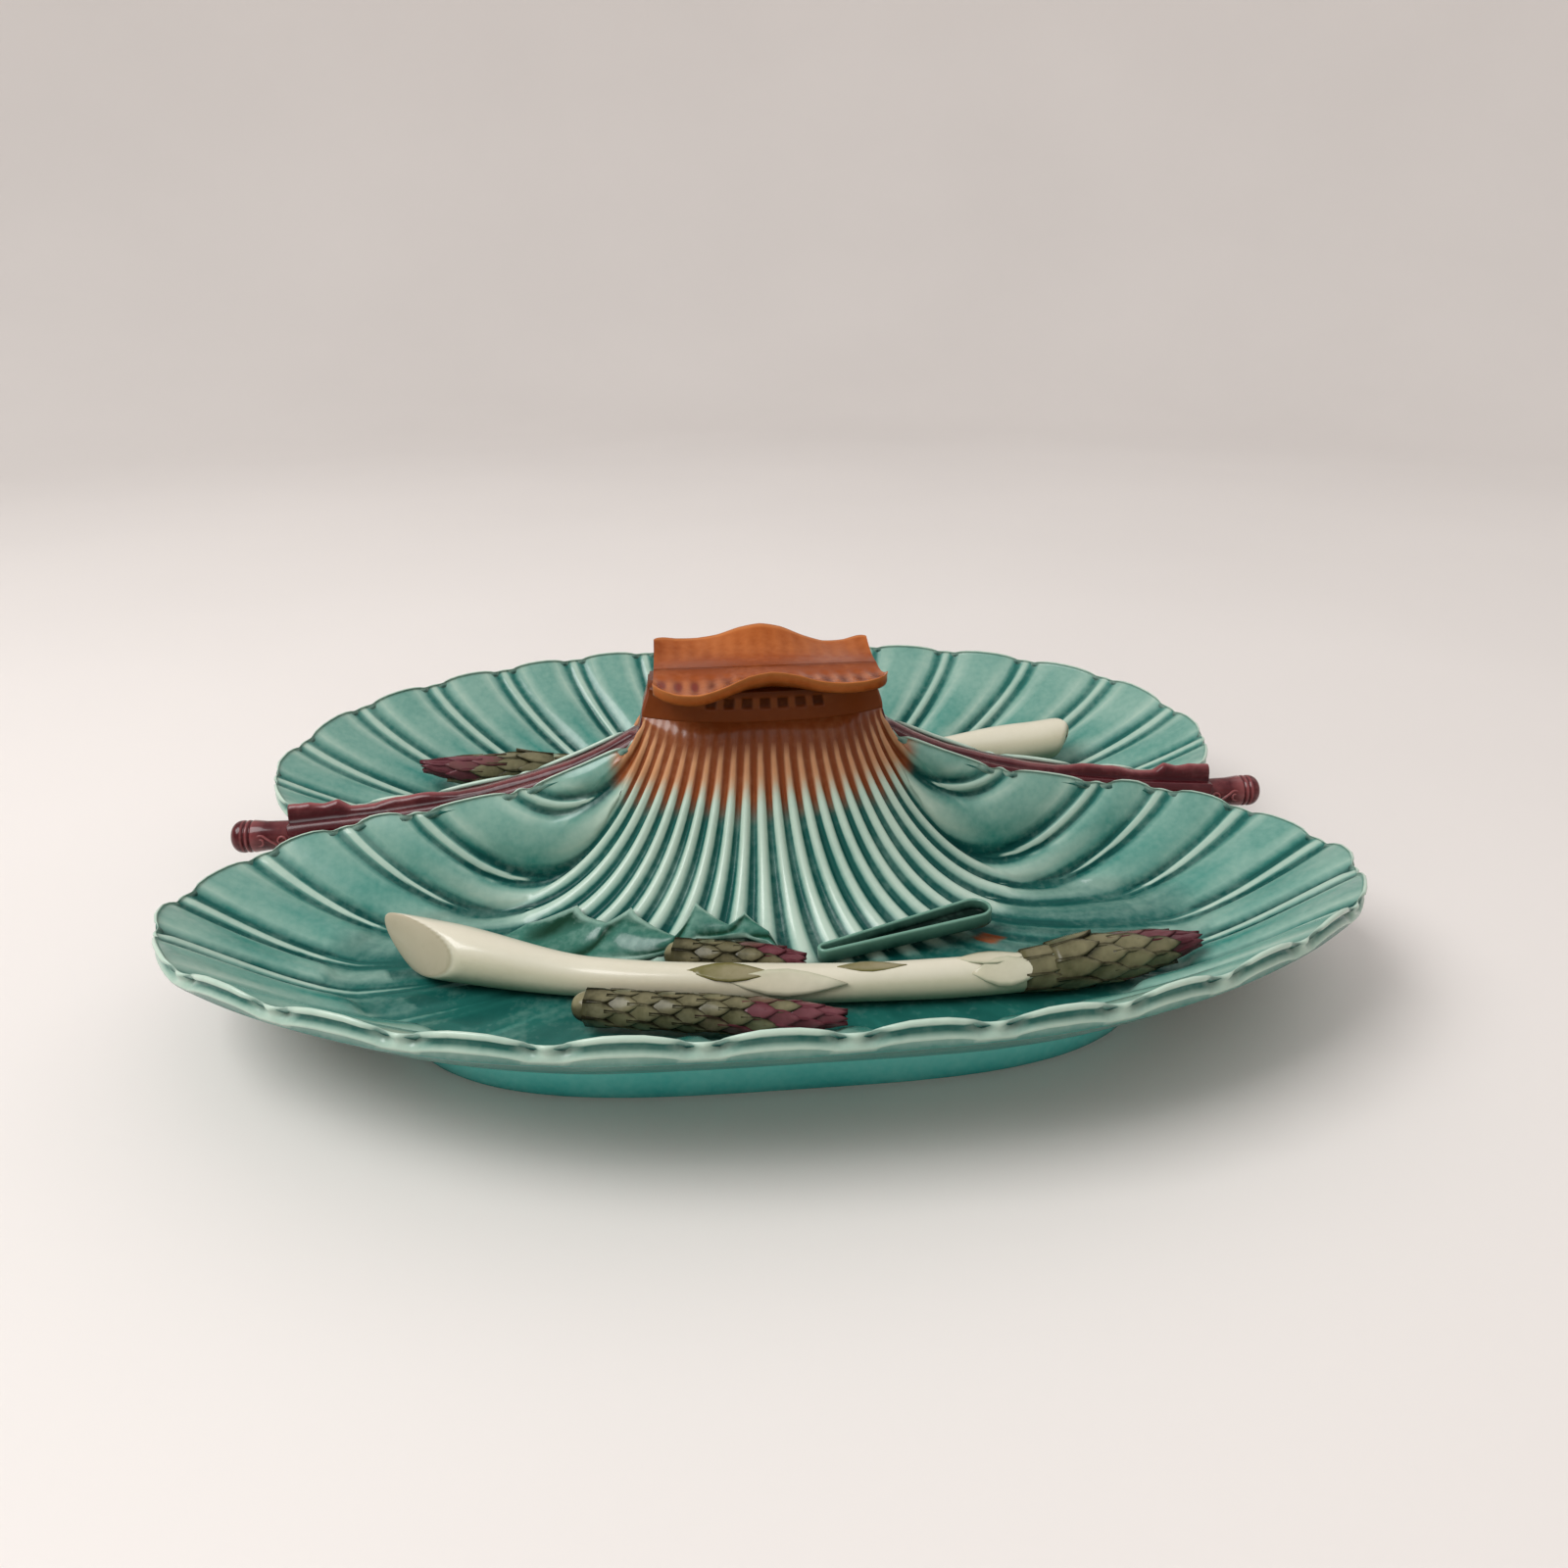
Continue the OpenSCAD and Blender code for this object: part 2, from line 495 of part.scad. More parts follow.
// Height at which a sprig touches the well. Its underside is round or flat, and rises along it.
rest_steps = 12;
rest_l_share = 0.8;
rest_shares = [for (k = [0 : rest_steps]) rest_l_share*k/rest_steps - 0.5];
rest_across_shares = [-0.5, -0.25, 0, 0.25, 0.5];
function rest_z(place, l, d, round_share, rise) =
    sprig_gap + max([for (s = rest_shares, o = rest_across_shares)
        well_at([place[0]*shell_half_l + l*s*cos(place[2]) + d*o*sin(place[2]),
                 place[1]*shell_reach - l*s*sin(place[2]) + d*o*cos(place[2])])
        - round_share*d*(0.5 - sqrt(0.25 - o*o)) - rise*(s + 0.5)]);
// Shares of the spears' lengths that their scaly heads take, and the bow of the short ones
long_head_share = 0.23;
short_head_share = 0.75;
short_bow_w = 1;
// Lift of the long spears' ends where the well's floor rises under them
front_lift_h = 2.5;
rear_lift_h = 7;
rear_bow_share = 0.72;
module at_place(place, z) {
    translate([place[0]*shell_half_l, -place[1]*shell_reach, z]) rotate([0, 0, place[2]]) children();
}
module long_spear(place, l, bow, lift) {
    at_place(place, floor_h + sprig_gap) spear_solid(l, butt_d, stem_d, head_d, bow, long_head_share, lift);
}
module short_spear(place, l) {
    at_place(place, rest_z(place, l, short_spear_d, 1, 0))
        spear_solid(l, short_spear_d, short_spear_d, short_spear_d, short_bow_w, short_head_share, 0);
}
module back_spear() { short_spear(back_spear_place, back_spear_l); }
module low_spear() { short_spear(low_spear_place, low_spear_l); }
module front_long_spear() { color("ivory") long_spear(front_spear_place, spear_l, spear_bow_w, front_lift_h); }
module front_back_spear() { color("darkkhaki") back_spear(); }
module front_low_spear() { color("darkkhaki") low_spear(); }
module rear_long_spear() {
    color("ivory") rotate([0, 0, 180])
        long_spear(rear_spear_place, rear_spear_l, spear_bow_w*rear_bow_share, rear_lift_h);
}
module rear_back_spear() { color("darkkhaki") rotate([0, 0, 180]) back_spear(); }
module rear_low_spear() { color("darkkhaki") rotate([0, 0, 180]) low_spear(); }

// The leaf drapes from the floor over the ends of the ribs, with spikes along its back edge. It lies on
// the well's own courses. Stations from left to right, as shares of the ribs on one side and of the
// course: back edge, then front edge.
leaf_station_shares = [
    [-0.600, 0.380, -0.588, 0.385],
    [-0.660, 0.309, -0.535, 0.335],
    [-0.625, 0.212, -0.480, 0.310],
    [-0.493, 0.202, -0.420, 0.295],
    [-0.468, 0.167, -0.365, 0.280],
    [-0.275, 0.221, -0.275, 0.254],
    [-0.268, 0.160, -0.215, 0.232],
    [-0.141, 0.208, -0.145, 0.232],
    [-0.105, 0.188, -0.092, 0.236],
    [-0.036, 0.230, -0.042, 0.255],
    [-0.010, 0.275, -0.015, 0.280]];
leaf_steps = len(leaf_station_shares) - 1;
leaf_rows = 3;
function leaf_at(i, j, lift) =
    let (g = leaf_station_shares[i], q = ribs*mix(g[0], g[2], j/leaf_rows), v = mix(g[1], g[3], j/leaf_rows),
         c = course(q), b = base_at(c, v), e = 0.01,
         n = upright(unit(cross(base_at(course(q + e), v) - b, base_at(c, v + e) - b))),
         clear = rib_rim_h*0.75*smooth((b[2] - floor_h)/(rib_rise_share*(rim_h - floor_h))) + 2*sprig_gap)
    facing(b + (clear + lift)*n);
module leaf() {
    m = leaf_rows + 1;
    first = (leaf_steps + 1)*m;
    top = [for (i = [0 : leaf_steps], j = [0 : leaf_rows]) leaf_at(i, j, leaf_t)];
    low = [for (i = [0 : leaf_steps], j = [0 : leaf_rows]) leaf_at(i, j, 0)];
    faces = concat(
        [for (i = [0 : leaf_steps - 1], j = [0 : leaf_rows - 1])
            each strip(i*m + j, (i + 1)*m + j, (i + 1)*m + j + 1, i*m + j + 1)],
        [for (i = [0 : leaf_steps - 1], j = [0 : leaf_rows - 1])
            each strip(first + i*m + j, first + i*m + j + 1, first + (i + 1)*m + j + 1,
                       first + (i + 1)*m + j)],
        [for (i = [0 : leaf_steps - 1])
            each strip(i*m + m - 1, (i + 1)*m + m - 1, first + (i + 1)*m + m - 1, first + i*m + m - 1)],
        [for (i = [0 : leaf_steps - 1]) each strip((i + 1)*m, i*m, first + i*m, first + (i + 1)*m)],
        [for (j = [0 : leaf_rows - 1]) each strip(j, j + 1, first + j + 1, first + j)],
        [for (j = [0 : leaf_rows - 1]) let (e = leaf_steps*m)
            each strip(e + j + 1, e + j, first + e + j, first + e + j + 1)]);
    polyhedron(concat(top, low), faces, convexity = 6);
}
module front_leaf() { color("darkgreen") leaf(); }
module rear_leaf() { color("darkgreen") rotate([0, 0, 180]) leaf(); }

// The hollow stalk: a trough that widens and rises from the floor towards its open end.
stalk_h = 5;
stalk_rise_h = 3;
stalk_low_share = 0.45;
module stalk_shape(inset) {
    hull() {
        translate([-(stalk_l - stalk_w*stalk_low_share)/2, 0])
            circle(stalk_w*stalk_low_share/2 - inset, $fn = facets);
        translate([(stalk_l - stalk_w)/2, 0]) circle(stalk_w/2 - inset, $fn = facets);
    }
}
module stalk() {
    at_place(stalk_place, rest_z(stalk_place, stalk_l, stalk_w*stalk_low_share, 0, stalk_rise_h) + stalk_rise_h/2)
        rotate([0, -asin(stalk_rise_h/stalk_l), 0])
        difference() {
            linear_extrude(stalk_h) stalk_shape(0);
            translate([0, 0, stalk_wall]) linear_extrude(stalk_h) stalk_shape(stalk_wall);
        }
}
module front_stalk() { color("seagreen") stalk(); }
module rear_stalk() { color("seagreen") rotate([0, 0, 180]) stalk(); }

front_shell();
rear_shell();
foot_ring();
handle_block();
front_lip();
rear_lip();
left_ridge_band();
right_ridge_band();
left_end_knob();
right_end_knob();
front_long_spear();
front_back_spear();
front_low_spear();
front_leaf();
front_stalk();
rear_long_spear();
rear_back_spear();
rear_low_spear();
rear_leaf();
rear_stalk();
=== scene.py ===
"""Looks of a double asparagus plate with a central handle.

The plate stands on a pale floor. Every form is built here in millimetres and placed in the plate's own
frame: length along X, width along Y, height along Z, with the floor at zero.
"""

import logging
import math
from dataclasses import dataclass, field
from enum import Enum

import bpy
import numpy as np
from mathutils import Matrix, Vector


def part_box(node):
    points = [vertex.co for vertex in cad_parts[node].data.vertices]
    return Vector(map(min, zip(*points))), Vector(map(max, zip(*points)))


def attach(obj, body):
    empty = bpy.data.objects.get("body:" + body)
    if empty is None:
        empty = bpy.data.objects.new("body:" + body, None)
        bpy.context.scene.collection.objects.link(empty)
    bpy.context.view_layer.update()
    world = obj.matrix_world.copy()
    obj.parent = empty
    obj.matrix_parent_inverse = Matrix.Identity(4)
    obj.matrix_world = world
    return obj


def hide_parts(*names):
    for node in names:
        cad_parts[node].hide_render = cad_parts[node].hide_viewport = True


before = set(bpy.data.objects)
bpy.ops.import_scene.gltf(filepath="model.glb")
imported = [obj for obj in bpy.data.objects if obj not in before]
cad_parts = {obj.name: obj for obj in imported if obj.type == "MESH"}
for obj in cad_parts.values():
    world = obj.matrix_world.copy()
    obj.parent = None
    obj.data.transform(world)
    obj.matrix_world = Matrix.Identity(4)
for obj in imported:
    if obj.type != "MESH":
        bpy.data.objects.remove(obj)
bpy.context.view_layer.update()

MM = 0.001
LOG = logging.getLogger("asparagus_plate")
FULL_TURN = 2 * math.pi
MIRROR_Y = np.array([1.0, -1.0, 1.0])
BACK_HALF = np.array([-1.0, -1.0, 1.0])
Values = float | np.ndarray
Tree = bpy.types.NodeTree
Socket = bpy.types.NodeSocket


class Side(Enum):
    """Which half of the plate a piece belongs to."""

    FRONT = 1.0
    REAR = -1.0

    @property
    def label(self) -> str:
        """Return the half's name."""
        return self.name.lower()

    @property
    def hand(self) -> str:
        """Return the name of the ridge's end that belongs to the half."""
        return "right" if self is Side.FRONT else "left"


class Zone(Enum):
    """Names of the painted masks that the meshes carry; the pool mask also carries painted shade, and the
    crest mask painted light on the spears' tops.
    """

    CREST = "crest"
    POOL = "pool"
    STAIN = "stain"


def mix(a: Values, b: Values, t: Values) -> Values:
    """Return the blend from a to b at share t."""
    return a + (b - a) * t


def smooth(t: Values) -> Values:
    """Return a smooth step from 0 to 1 while t runs from 0 to 1."""
    c = np.clip(t, 0.0, 1.0)
    return c * c * (3.0 - 2.0 * c)


def rise(t: Values, start: float, width: float) -> Values:
    """Return a smooth step from 0 at start to 1 a width further on, or further back if it is negative."""
    return smooth((t - start) / width)


def bell(t: Values, middle: float, width: float) -> Values:
    """Return a bell curve: 1 at its middle, nearly 0 two widths away."""
    return np.exp(-(((t - middle) / width) ** 2))


def unit(v: np.ndarray) -> np.ndarray:
    """Return vectors of length one along the last axis."""
    return v / np.maximum(np.linalg.norm(v, axis=-1, keepdims=True), 1e-6)


def half_turn(points: np.ndarray, side: Side) -> np.ndarray:
    """Return the points, turned half round the upright axis for the rear half."""
    return points * np.array([side.value, side.value, 1.0])


def turned_flat(points: np.ndarray, degrees: float) -> np.ndarray:
    """Return the points turned round the upright axis."""
    c, s = math.cos(math.radians(degrees)), math.sin(math.radians(degrees))
    return points @ np.array([[c, s, 0], [-s, c, 0], [0, 0, 1.0]])


def linear(rgb: tuple[int, int, int]) -> tuple[float, float, float, float]:
    """Turn an 8-bit screen colour into linear light.

    Args:
        rgb: Red, green and blue from 0 to 255.

    Returns:
        The colour with full alpha.
    """
    c = np.array(rgb) / 255.0
    out = np.where(c <= 0.04045, c / 12.92, ((c + 0.055) / 1.055) ** 2.4)
    return (float(out[0]), float(out[1]), float(out[2]), 1.0)


def grid_faces(rows: int, cols: int, wrap_rows: bool = False, wrap_cols: bool = False) -> np.ndarray:
    """Return the four-sided faces of a grid of points stored row by row.

    Args:
        rows: Number of rows.
        cols: Number of points in a row.
        wrap_rows: Join the last row to the first.
        wrap_cols: Join the last point of each row to its first.

    Returns:
        An array of faces, four indices each.
    """
    r = np.arange(rows if wrap_rows else rows - 1)
    c = np.arange(cols if wrap_cols else cols - 1)
    r0, c0 = np.meshgrid(r, c, indexing="ij")
    r1, c1 = (r0 + 1) % rows, (c0 + 1) % cols
    quad = np.stack([r0 * cols + c0, r1 * cols + c0, r1 * cols + c1, r0 * cols + c1], -1)
    return quad.reshape(-1, 4)


def sheet_faces(rows: int, cols: int) -> list:
    """Close a thin sheet of two grids, the upper one first.

    Args:
        rows: Number of rows of a grid.
        cols: Number of points in a row.

    Returns:
        Faces of the upper grid, the lower grid and the strip round both.
    """
    upper = grid_faces(rows, cols).tolist()
    shift = rows * cols
    rim = list(range(cols)) + [k * cols + cols - 1 for k in range(1, rows)]
    rim += [(rows - 1) * cols + k for k in range(cols - 2, -1, -1)]
    rim += [k * cols for k in range(rows - 2, 0, -1)]
    strip = [[a, b, b + shift, a + shift] for a, b in zip(rim, rim[1:] + rim[:1])]
    return upper + [[i + shift for i in f[::-1]] for f in upper] + strip


def pole_faces(rings: int, sides: int) -> list:
    """Close a round body by two poles, stored after its rings.

    Args:
        rings: Number of rings.
        sides: Number of points in a ring.

    Returns:
        The faces as lists of indices.
    """
    faces = grid_faces(rings, sides, wrap_cols=True).tolist()
    last = (rings - 1) * sides
    faces += [[rings * sides, (k + 1) % sides, k] for k in range(sides)]
    return faces + [[rings * sides + 1, last + k, last + (k + 1) % sides] for k in range(sides)]


def signed_volume(points: np.ndarray, faces: list) -> float:
    """Measure the volume that faces close.

    Args:
        points: The points.
        faces: Faces as lists of indices.

    Returns:
        The volume, negative where the faces look inwards.
    """
    total = 0.0
    for size in sorted({len(f) for f in faces}):
        f = np.array([g for g in faces if len(g) == size])
        for k in range(1, size - 1):
            a, b, c = points[f[:, 0]], points[f[:, k]], points[f[:, k + 1]]
            total += float(np.einsum("ij,ij->", a, np.cross(b, c)))
    return total / 6.0


def link_object(name: str, data: bpy.types.ID) -> bpy.types.Object:
    """Make an object of the scene that shows a mesh, a light or a camera.

    Args:
        name: Name of the object.
        data: What it shows.

    Returns:
        The new object.
    """
    made = bpy.data.objects.new(name, data)
    bpy.context.scene.collection.objects.link(made)
    return made


def build_mesh(name: str, points: np.ndarray, faces: list, **masks: np.ndarray) -> bpy.types.Object:
    """Make a closed object from points in millimetres.

    Args:
        name: Name of the object.
        points: Points, in the order that the faces count them.
        faces: Faces as lists of indices.
        masks: Painted values from 0 to 1 by the name of their zone, one for each point.

    Returns:
        The new object, at the origin, its faces looking outwards.
    """
    points = np.reshape(points, (-1, 3))
    faces = [list(map(int, f)) for f in faces]
    if signed_volume(points, faces) < 0.0:
        faces = [f[::-1] for f in faces]
    mesh = bpy.data.meshes.new(name)
    mesh.from_pydata((points * MM).tolist(), [], faces)
    for zone in Zone:
        attribute = mesh.attributes.new(zone.value, "FLOAT", "POINT")
        if zone.value in masks:
            values = np.ravel(masks[zone.value])
            attribute.data.foreach_set("value", np.clip(values, 0, 1).astype(np.float32))
    mesh.polygons.foreach_set("use_smooth", [True] * len(mesh.polygons))
    mesh.validate()
    mesh.update()
    return link_object(name, mesh)


def build_loft(name: str, rings: np.ndarray, **masks: np.ndarray | list[np.ndarray]) -> bpy.types.Object:
    """Make a closed object through rings of points, with a flat face on the first and the last.

    Args:
        name: Name of the object.
        rings: Points, ring by ring.
        masks: Painted values by the name of their zone: one for each point, or a list of blocks that lie
            side by side in the rings.

    Returns:
        The new object.
    """
    n, m = rings.shape[:2]
    masks = {zone: np.concatenate(v, 1) if isinstance(v, list) else v for zone, v in masks.items()}
    faces = grid_faces(n, m, wrap_cols=True).tolist()
    faces += [list(range(m)), list(range((n - 1) * m, n * m))[::-1]]
    return build_mesh(name, rings, faces, **masks)


def finish_piece(piece: bpy.types.Object, slot: str, material: bpy.types.Material, *nodes: str) -> None:
    """Give a piece its material and let it stand for the named nodes.

    Args:
        piece: The object.
        slot: Not used.
        material: The material of all its faces.
        nodes: Nodes that the piece replaces.
    """
    piece.data.materials.clear()
    piece.data.materials.append(material)
    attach(piece, "root")
    if nodes:
        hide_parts(*nodes)
    LOG.info("%s: %d faces", piece.name, len(piece.data.polygons))


class Piece:
    """A visible piece of the plate. Its name is that of the node it stands for, and one word more."""

    slot = ""
    has_node = True

    def model(self) -> bpy.types.Object:
        """Return the piece's object, without its glaze."""
        raise NotImplementedError

    def build(self, material: bpy.types.Material) -> bpy.types.Object:
        """Return the finished piece.

        Args:
            material: Its glaze.

        Returns:
            The object, with its material, in place of its node.
        """
        piece = self.model()
        nodes = [piece.name.rsplit("_", 1)[0]] if self.has_node else []
        finish_piece(piece, self.slot, material, *nodes)
        return piece


def new_group(
    name: str, inputs: list[tuple[str, str]], outputs: list[tuple[str, str]]
) -> tuple[Tree, bpy.types.Node, bpy.types.Node]:
    """Return an empty shader node group and its two end nodes.

    Args:
        name: Name of the group.
        inputs: Name and kind of each input: Color, Float or Vector.
        outputs: The same of each output.

    Returns:
        The group, its input node and its output node.
    """
    group = bpy.data.node_groups.new(name, "ShaderNodeTree")
    for way, sockets in (("INPUT", inputs), ("OUTPUT", outputs)):
        for label, kind in sockets:
            group.interface.new_socket(label, in_out=way, socket_type=f"NodeSocket{kind}")
    return group, group.nodes.new("NodeGroupInput"), group.nodes.new("NodeGroupOutput")


def node(tree: Tree, kind: str, **settings: object) -> bpy.types.Node:
    """Add a node.

    Args:
        tree: The node tree.
        kind: Type of the node.
        settings: Values of its properties by name.

    Returns:
        The new node.
    """
    made = tree.nodes.new(kind)
    for key, value in settings.items():
        setattr(made, key, value)
    return made


def blend_colour(tree: Tree, factor: Socket, a: Socket, b: Socket) -> Socket:
    """Blend two colours.

    Args:
        tree: The node tree.
        factor: The socket that says how much of b is taken.
        a: The first colour.
        b: The second colour.

    Returns:
        The blended colour.
    """
    made = node(tree, "ShaderNodeMix", data_type="RGBA")
    for place, source in ((0, factor), (6, a), (7, b)):
        tree.links.new(source, made.inputs[place])
    return made.outputs[2]


def remap(
    tree: Tree, value: Socket, start: tuple[float, float], stop: tuple[float, float], kind: str = "LINEAR"
) -> Socket:
    """Return a socket that takes one range of values to another.

    Args:
        tree: The node tree.
        value: The socket that is read.
        start: Range of the values read.
        stop: Range that they are taken to.
        kind: LINEAR or SMOOTHSTEP.

    Returns:
        The output socket.
    """
    made = node(tree, "ShaderNodeMapRange", interpolation_type=kind)
    tree.links.new(value, made.inputs[0])
    for place, limit in enumerate(start + stop, 1):
        made.inputs[place].default_value = limit
    return made.outputs[0]


def combine(tree: Tree, operation: str, a: Socket, b: Socket | float, clamp: bool = False) -> Socket:
    """Add, multiply or otherwise combine two values.

    Args:
        tree: The node tree.
        operation: Name of the operation.
        a: The first value.
        b: The second value, a socket or a number.
        clamp: Keep the result between 0 and 1.

    Returns:
        The result.
    """
    made = node(tree, "ShaderNodeMath", operation=operation, use_clamp=clamp)
    tree.links.new(a, made.inputs[0])
    if isinstance(b, (int, float)):
        made.inputs[1].default_value = b
    else:
        tree.links.new(b, made.inputs[1])
    return made.outputs[0]


def noise(tree: Tree, scale: float, detail: float) -> Socket:
    """Add a noise that is fixed to the object.

    Args:
        tree: The node tree.
        scale: Its scale.
        detail: Its detail.

    Returns:
        Its value.
    """
    made = node(tree, "ShaderNodeTexNoise")
    made.inputs["Scale"].default_value = scale
    made.inputs["Detail"].default_value = detail
    tree.links.new(node(tree, "ShaderNodeTexCoord").outputs["Object"], made.inputs["Vector"])
    return made.outputs[0]


CLOUD_SCALE, CLOUD_DETAIL = 45.0, 4.0
SPECK_SCALE, SPECK_DETAIL, SPECK_SHARE = 420.0, 3.0, 0.5
CREST_WANDER, STAIN_WANDER = 1.6, 1.2
STAIN_EDGE = (0.12, 0.88)
ROUGHNESS = (0.16, 0.3)
HOLLOW_SHINE = 0.15
RIPPLE_SCALE, RIPPLE_DETAIL, RIPPLE_DEPTH = 160.0, 2.0, 0.0006
COAT_ROUGHNESS = 0.08
GLAZE_IOR = 1.5
COLOURS = ("Body", "Thin", "Deep", "Stain", "Stain Thin")


def glaze_colour_group() -> bpy.types.ShaderNodeTree:
    """Make the group that colours a glaze: thin and pale on crests, deep in hollows, and also dark where the
    masks carry painted shade and pale where they carry painted light.

    Returns:
        The node group.
    """
    group, start, end = new_group(
        "glaze_colour",
        [(label, "Color") for label in COLOURS]
        + [(label, "Float") for label in ("Crest", "Pool", "Stained", "Mottle")],
        [("Color", "Color"), ("Roughness", "Float"), ("Shine Share", "Float")],
    )
    given = start.outputs
    cloud = noise(group, CLOUD_SCALE, CLOUD_DETAIL)
    fine = noise(group, SPECK_SCALE, SPECK_DETAIL)
    speck = combine(group, "MULTIPLY", combine(group, "SUBTRACT", fine, 0.5), SPECK_SHARE)
    wander = combine(group, "ADD", combine(group, "SUBTRACT", cloud, 0.5), speck)
    wander = combine(group, "MULTIPLY", wander, given["Mottle"])
    crest_off = combine(group, "MULTIPLY", wander, CREST_WANDER)
    stain_off = combine(group, "MULTIPLY", wander, STAIN_WANDER)
    crest = combine(group, "ADD", given["Crest"], crest_off, clamp=True)
    pool = combine(group, "SUBTRACT", given["Pool"], wander, clamp=True)
    stained = combine(group, "ADD", given["Stained"], stain_off, clamp=True)
    stained = remap(group, stained, STAIN_EDGE, (0.0, 1.0), "SMOOTHSTEP")
    body = blend_colour(group, pool, given["Body"], given["Deep"])
    body = blend_colour(group, crest, body, given["Thin"])
    brown = blend_colour(group, crest, given["Stain"], given["Stain Thin"])
    group.links.new(blend_colour(group, stained, body, brown), end.inputs["Color"])
    group.links.new(remap(group, cloud, (0.0, 1.0), ROUGHNESS), end.inputs["Roughness"])
    dull = combine(group, "SUBTRACT", pool, crest, clamp=True)
    group.links.new(remap(group, dull, (0.0, 1.0), (1.0, HOLLOW_SHINE)), end.inputs["Shine Share"])
    return group


def glaze_relief_group() -> bpy.types.ShaderNodeTree:
    """Make the group that gives a glaze its slight unevenness.

    Returns:
        The node group.
    """
    group, start, end = new_group("glaze_relief", [("Strength", "Float")], [("Normal", "Vector")])
    bump = node(group, "ShaderNodeBump")
    bump.inputs["Distance"].default_value = RIPPLE_DEPTH
    group.links.new(start.outputs["Strength"], bump.inputs["Strength"])
    group.links.new(noise(group, RIPPLE_SCALE, RIPPLE_DETAIL), bump.inputs["Height"])
    group.links.new(bump.outputs[0], end.inputs["Normal"])
    return group


@dataclass(frozen=True)
class Glaze:
    """One glaze: its colours on plain, thin and deep places, and where it turns brown."""

    name: str
    body: tuple[int, int, int]
    thin: tuple[int, int, int]
    deep: tuple[int, int, int]
    stain: tuple[int, int, int] = (124, 60, 26)
    stain_thin: tuple[int, int, int] = (198, 142, 100)
    mottle: float = 0.3
    coat: float = 0.25
    relief: float = 0.12
    shine: float = 0.35

    def material(self, groups: dict[str, bpy.types.ShaderNodeTree]) -> bpy.types.Material:
        """Return the material of this glaze.

        Args:
            groups: The shared node groups by name.

        Returns:
            A material that follows the meshes' painted masks.
        """
        made = bpy.data.materials.new(self.name)
        made.use_nodes = True
        tree = made.node_tree
        shader = tree.nodes["Principled BSDF"]
        colour = node(tree, "ShaderNodeGroup", node_tree=groups["glaze_colour"])
        relief = node(tree, "ShaderNodeGroup", node_tree=groups["glaze_relief"])
        for label, rgb in zip(COLOURS, (self.body, self.thin, self.deep, self.stain, self.stain_thin)):
            colour.inputs[label].default_value = linear(rgb)
        colour.inputs["Mottle"].default_value = self.mottle
        for label, zone in (("Crest", Zone.CREST), ("Pool", Zone.POOL), ("Stained", Zone.STAIN)):
            mask = node(tree, "ShaderNodeAttribute", attribute_name=zone.value)
            tree.links.new(mask.outputs["Fac"], colour.inputs[label])
        relief.inputs["Strength"].default_value = self.relief
        tree.links.new(colour.outputs["Color"], shader.inputs["Base Color"])
        tree.links.new(colour.outputs["Roughness"], shader.inputs["Roughness"])
        tree.links.new(relief.outputs["Normal"], shader.inputs["Normal"])
        for label, full in (("Coat Weight", self.coat), ("Specular IOR Level", self.shine)):
            share = combine(tree, "MULTIPLY", colour.outputs["Shine Share"], full, clamp=True)
            tree.links.new(share, shader.inputs[label])
        shader.inputs["Coat Roughness"].default_value = COAT_ROUGHNESS
        shader.inputs["IOR"].default_value = GLAZE_IOR
        return made


GLAZES = (
    Glaze("turquoise_glaze", (52, 132, 120), (186, 208, 192), (8, 62, 58), coat=0.18),
    Glaze("teal_foot_glaze", (78, 198, 190), (150, 212, 202), (30, 116, 114)),
    Glaze(
        "amber_brown_glaze", (144, 66, 16), (190, 114, 62), (92, 36, 8),
        stain=(112, 34, 14), stain_thin=(130, 50, 24), mottle=0.5, coat=0.03, shine=0.08,
    ),
    Glaze("neck_brown_glaze", (122, 56, 20), (150, 84, 44), (56, 22, 8), coat=0.05, shine=0.16),
    Glaze("maroon_glaze", (74, 12, 20), (176, 98, 98), (30, 5, 8), shine=0.24),
    Glaze(
        "ivory_glaze", (206, 198, 172), (220, 214, 196), (130, 146, 122),
        stain=(108, 102, 56), stain_thin=(186, 174, 150),
    ),
    Glaze(
        "khaki_glaze", (90, 86, 60), (152, 144, 110), (30, 28, 16),
        stain=(84, 38, 46), stain_thin=(132, 78, 84), mottle=0.6, coat=0.1, shine=0.22,
    ),
    Glaze("leaf_green_glaze", (46, 112, 96), (168, 198, 182), (16, 52, 36), mottle=0.5),
    Glaze("stalk_green_glaze", (34, 84, 70), (112, 156, 138), (6, 26, 20)),
)


RIBS = 12
NECK_TURN = math.radians(60.0)
LEAN_EVEN, LEAN_END = 50.0, 40.0
LEAVE_SHARE, ARRIVE_SHARE, GLANCE_SHARE = 0.5, 0.17, 0.6
NECK_FALL_SHARE, NECK_FALL_POWER, RIM_FALL_POWER = 0.85, 2.1, 1.4
STEPS_PER_POINT = 5
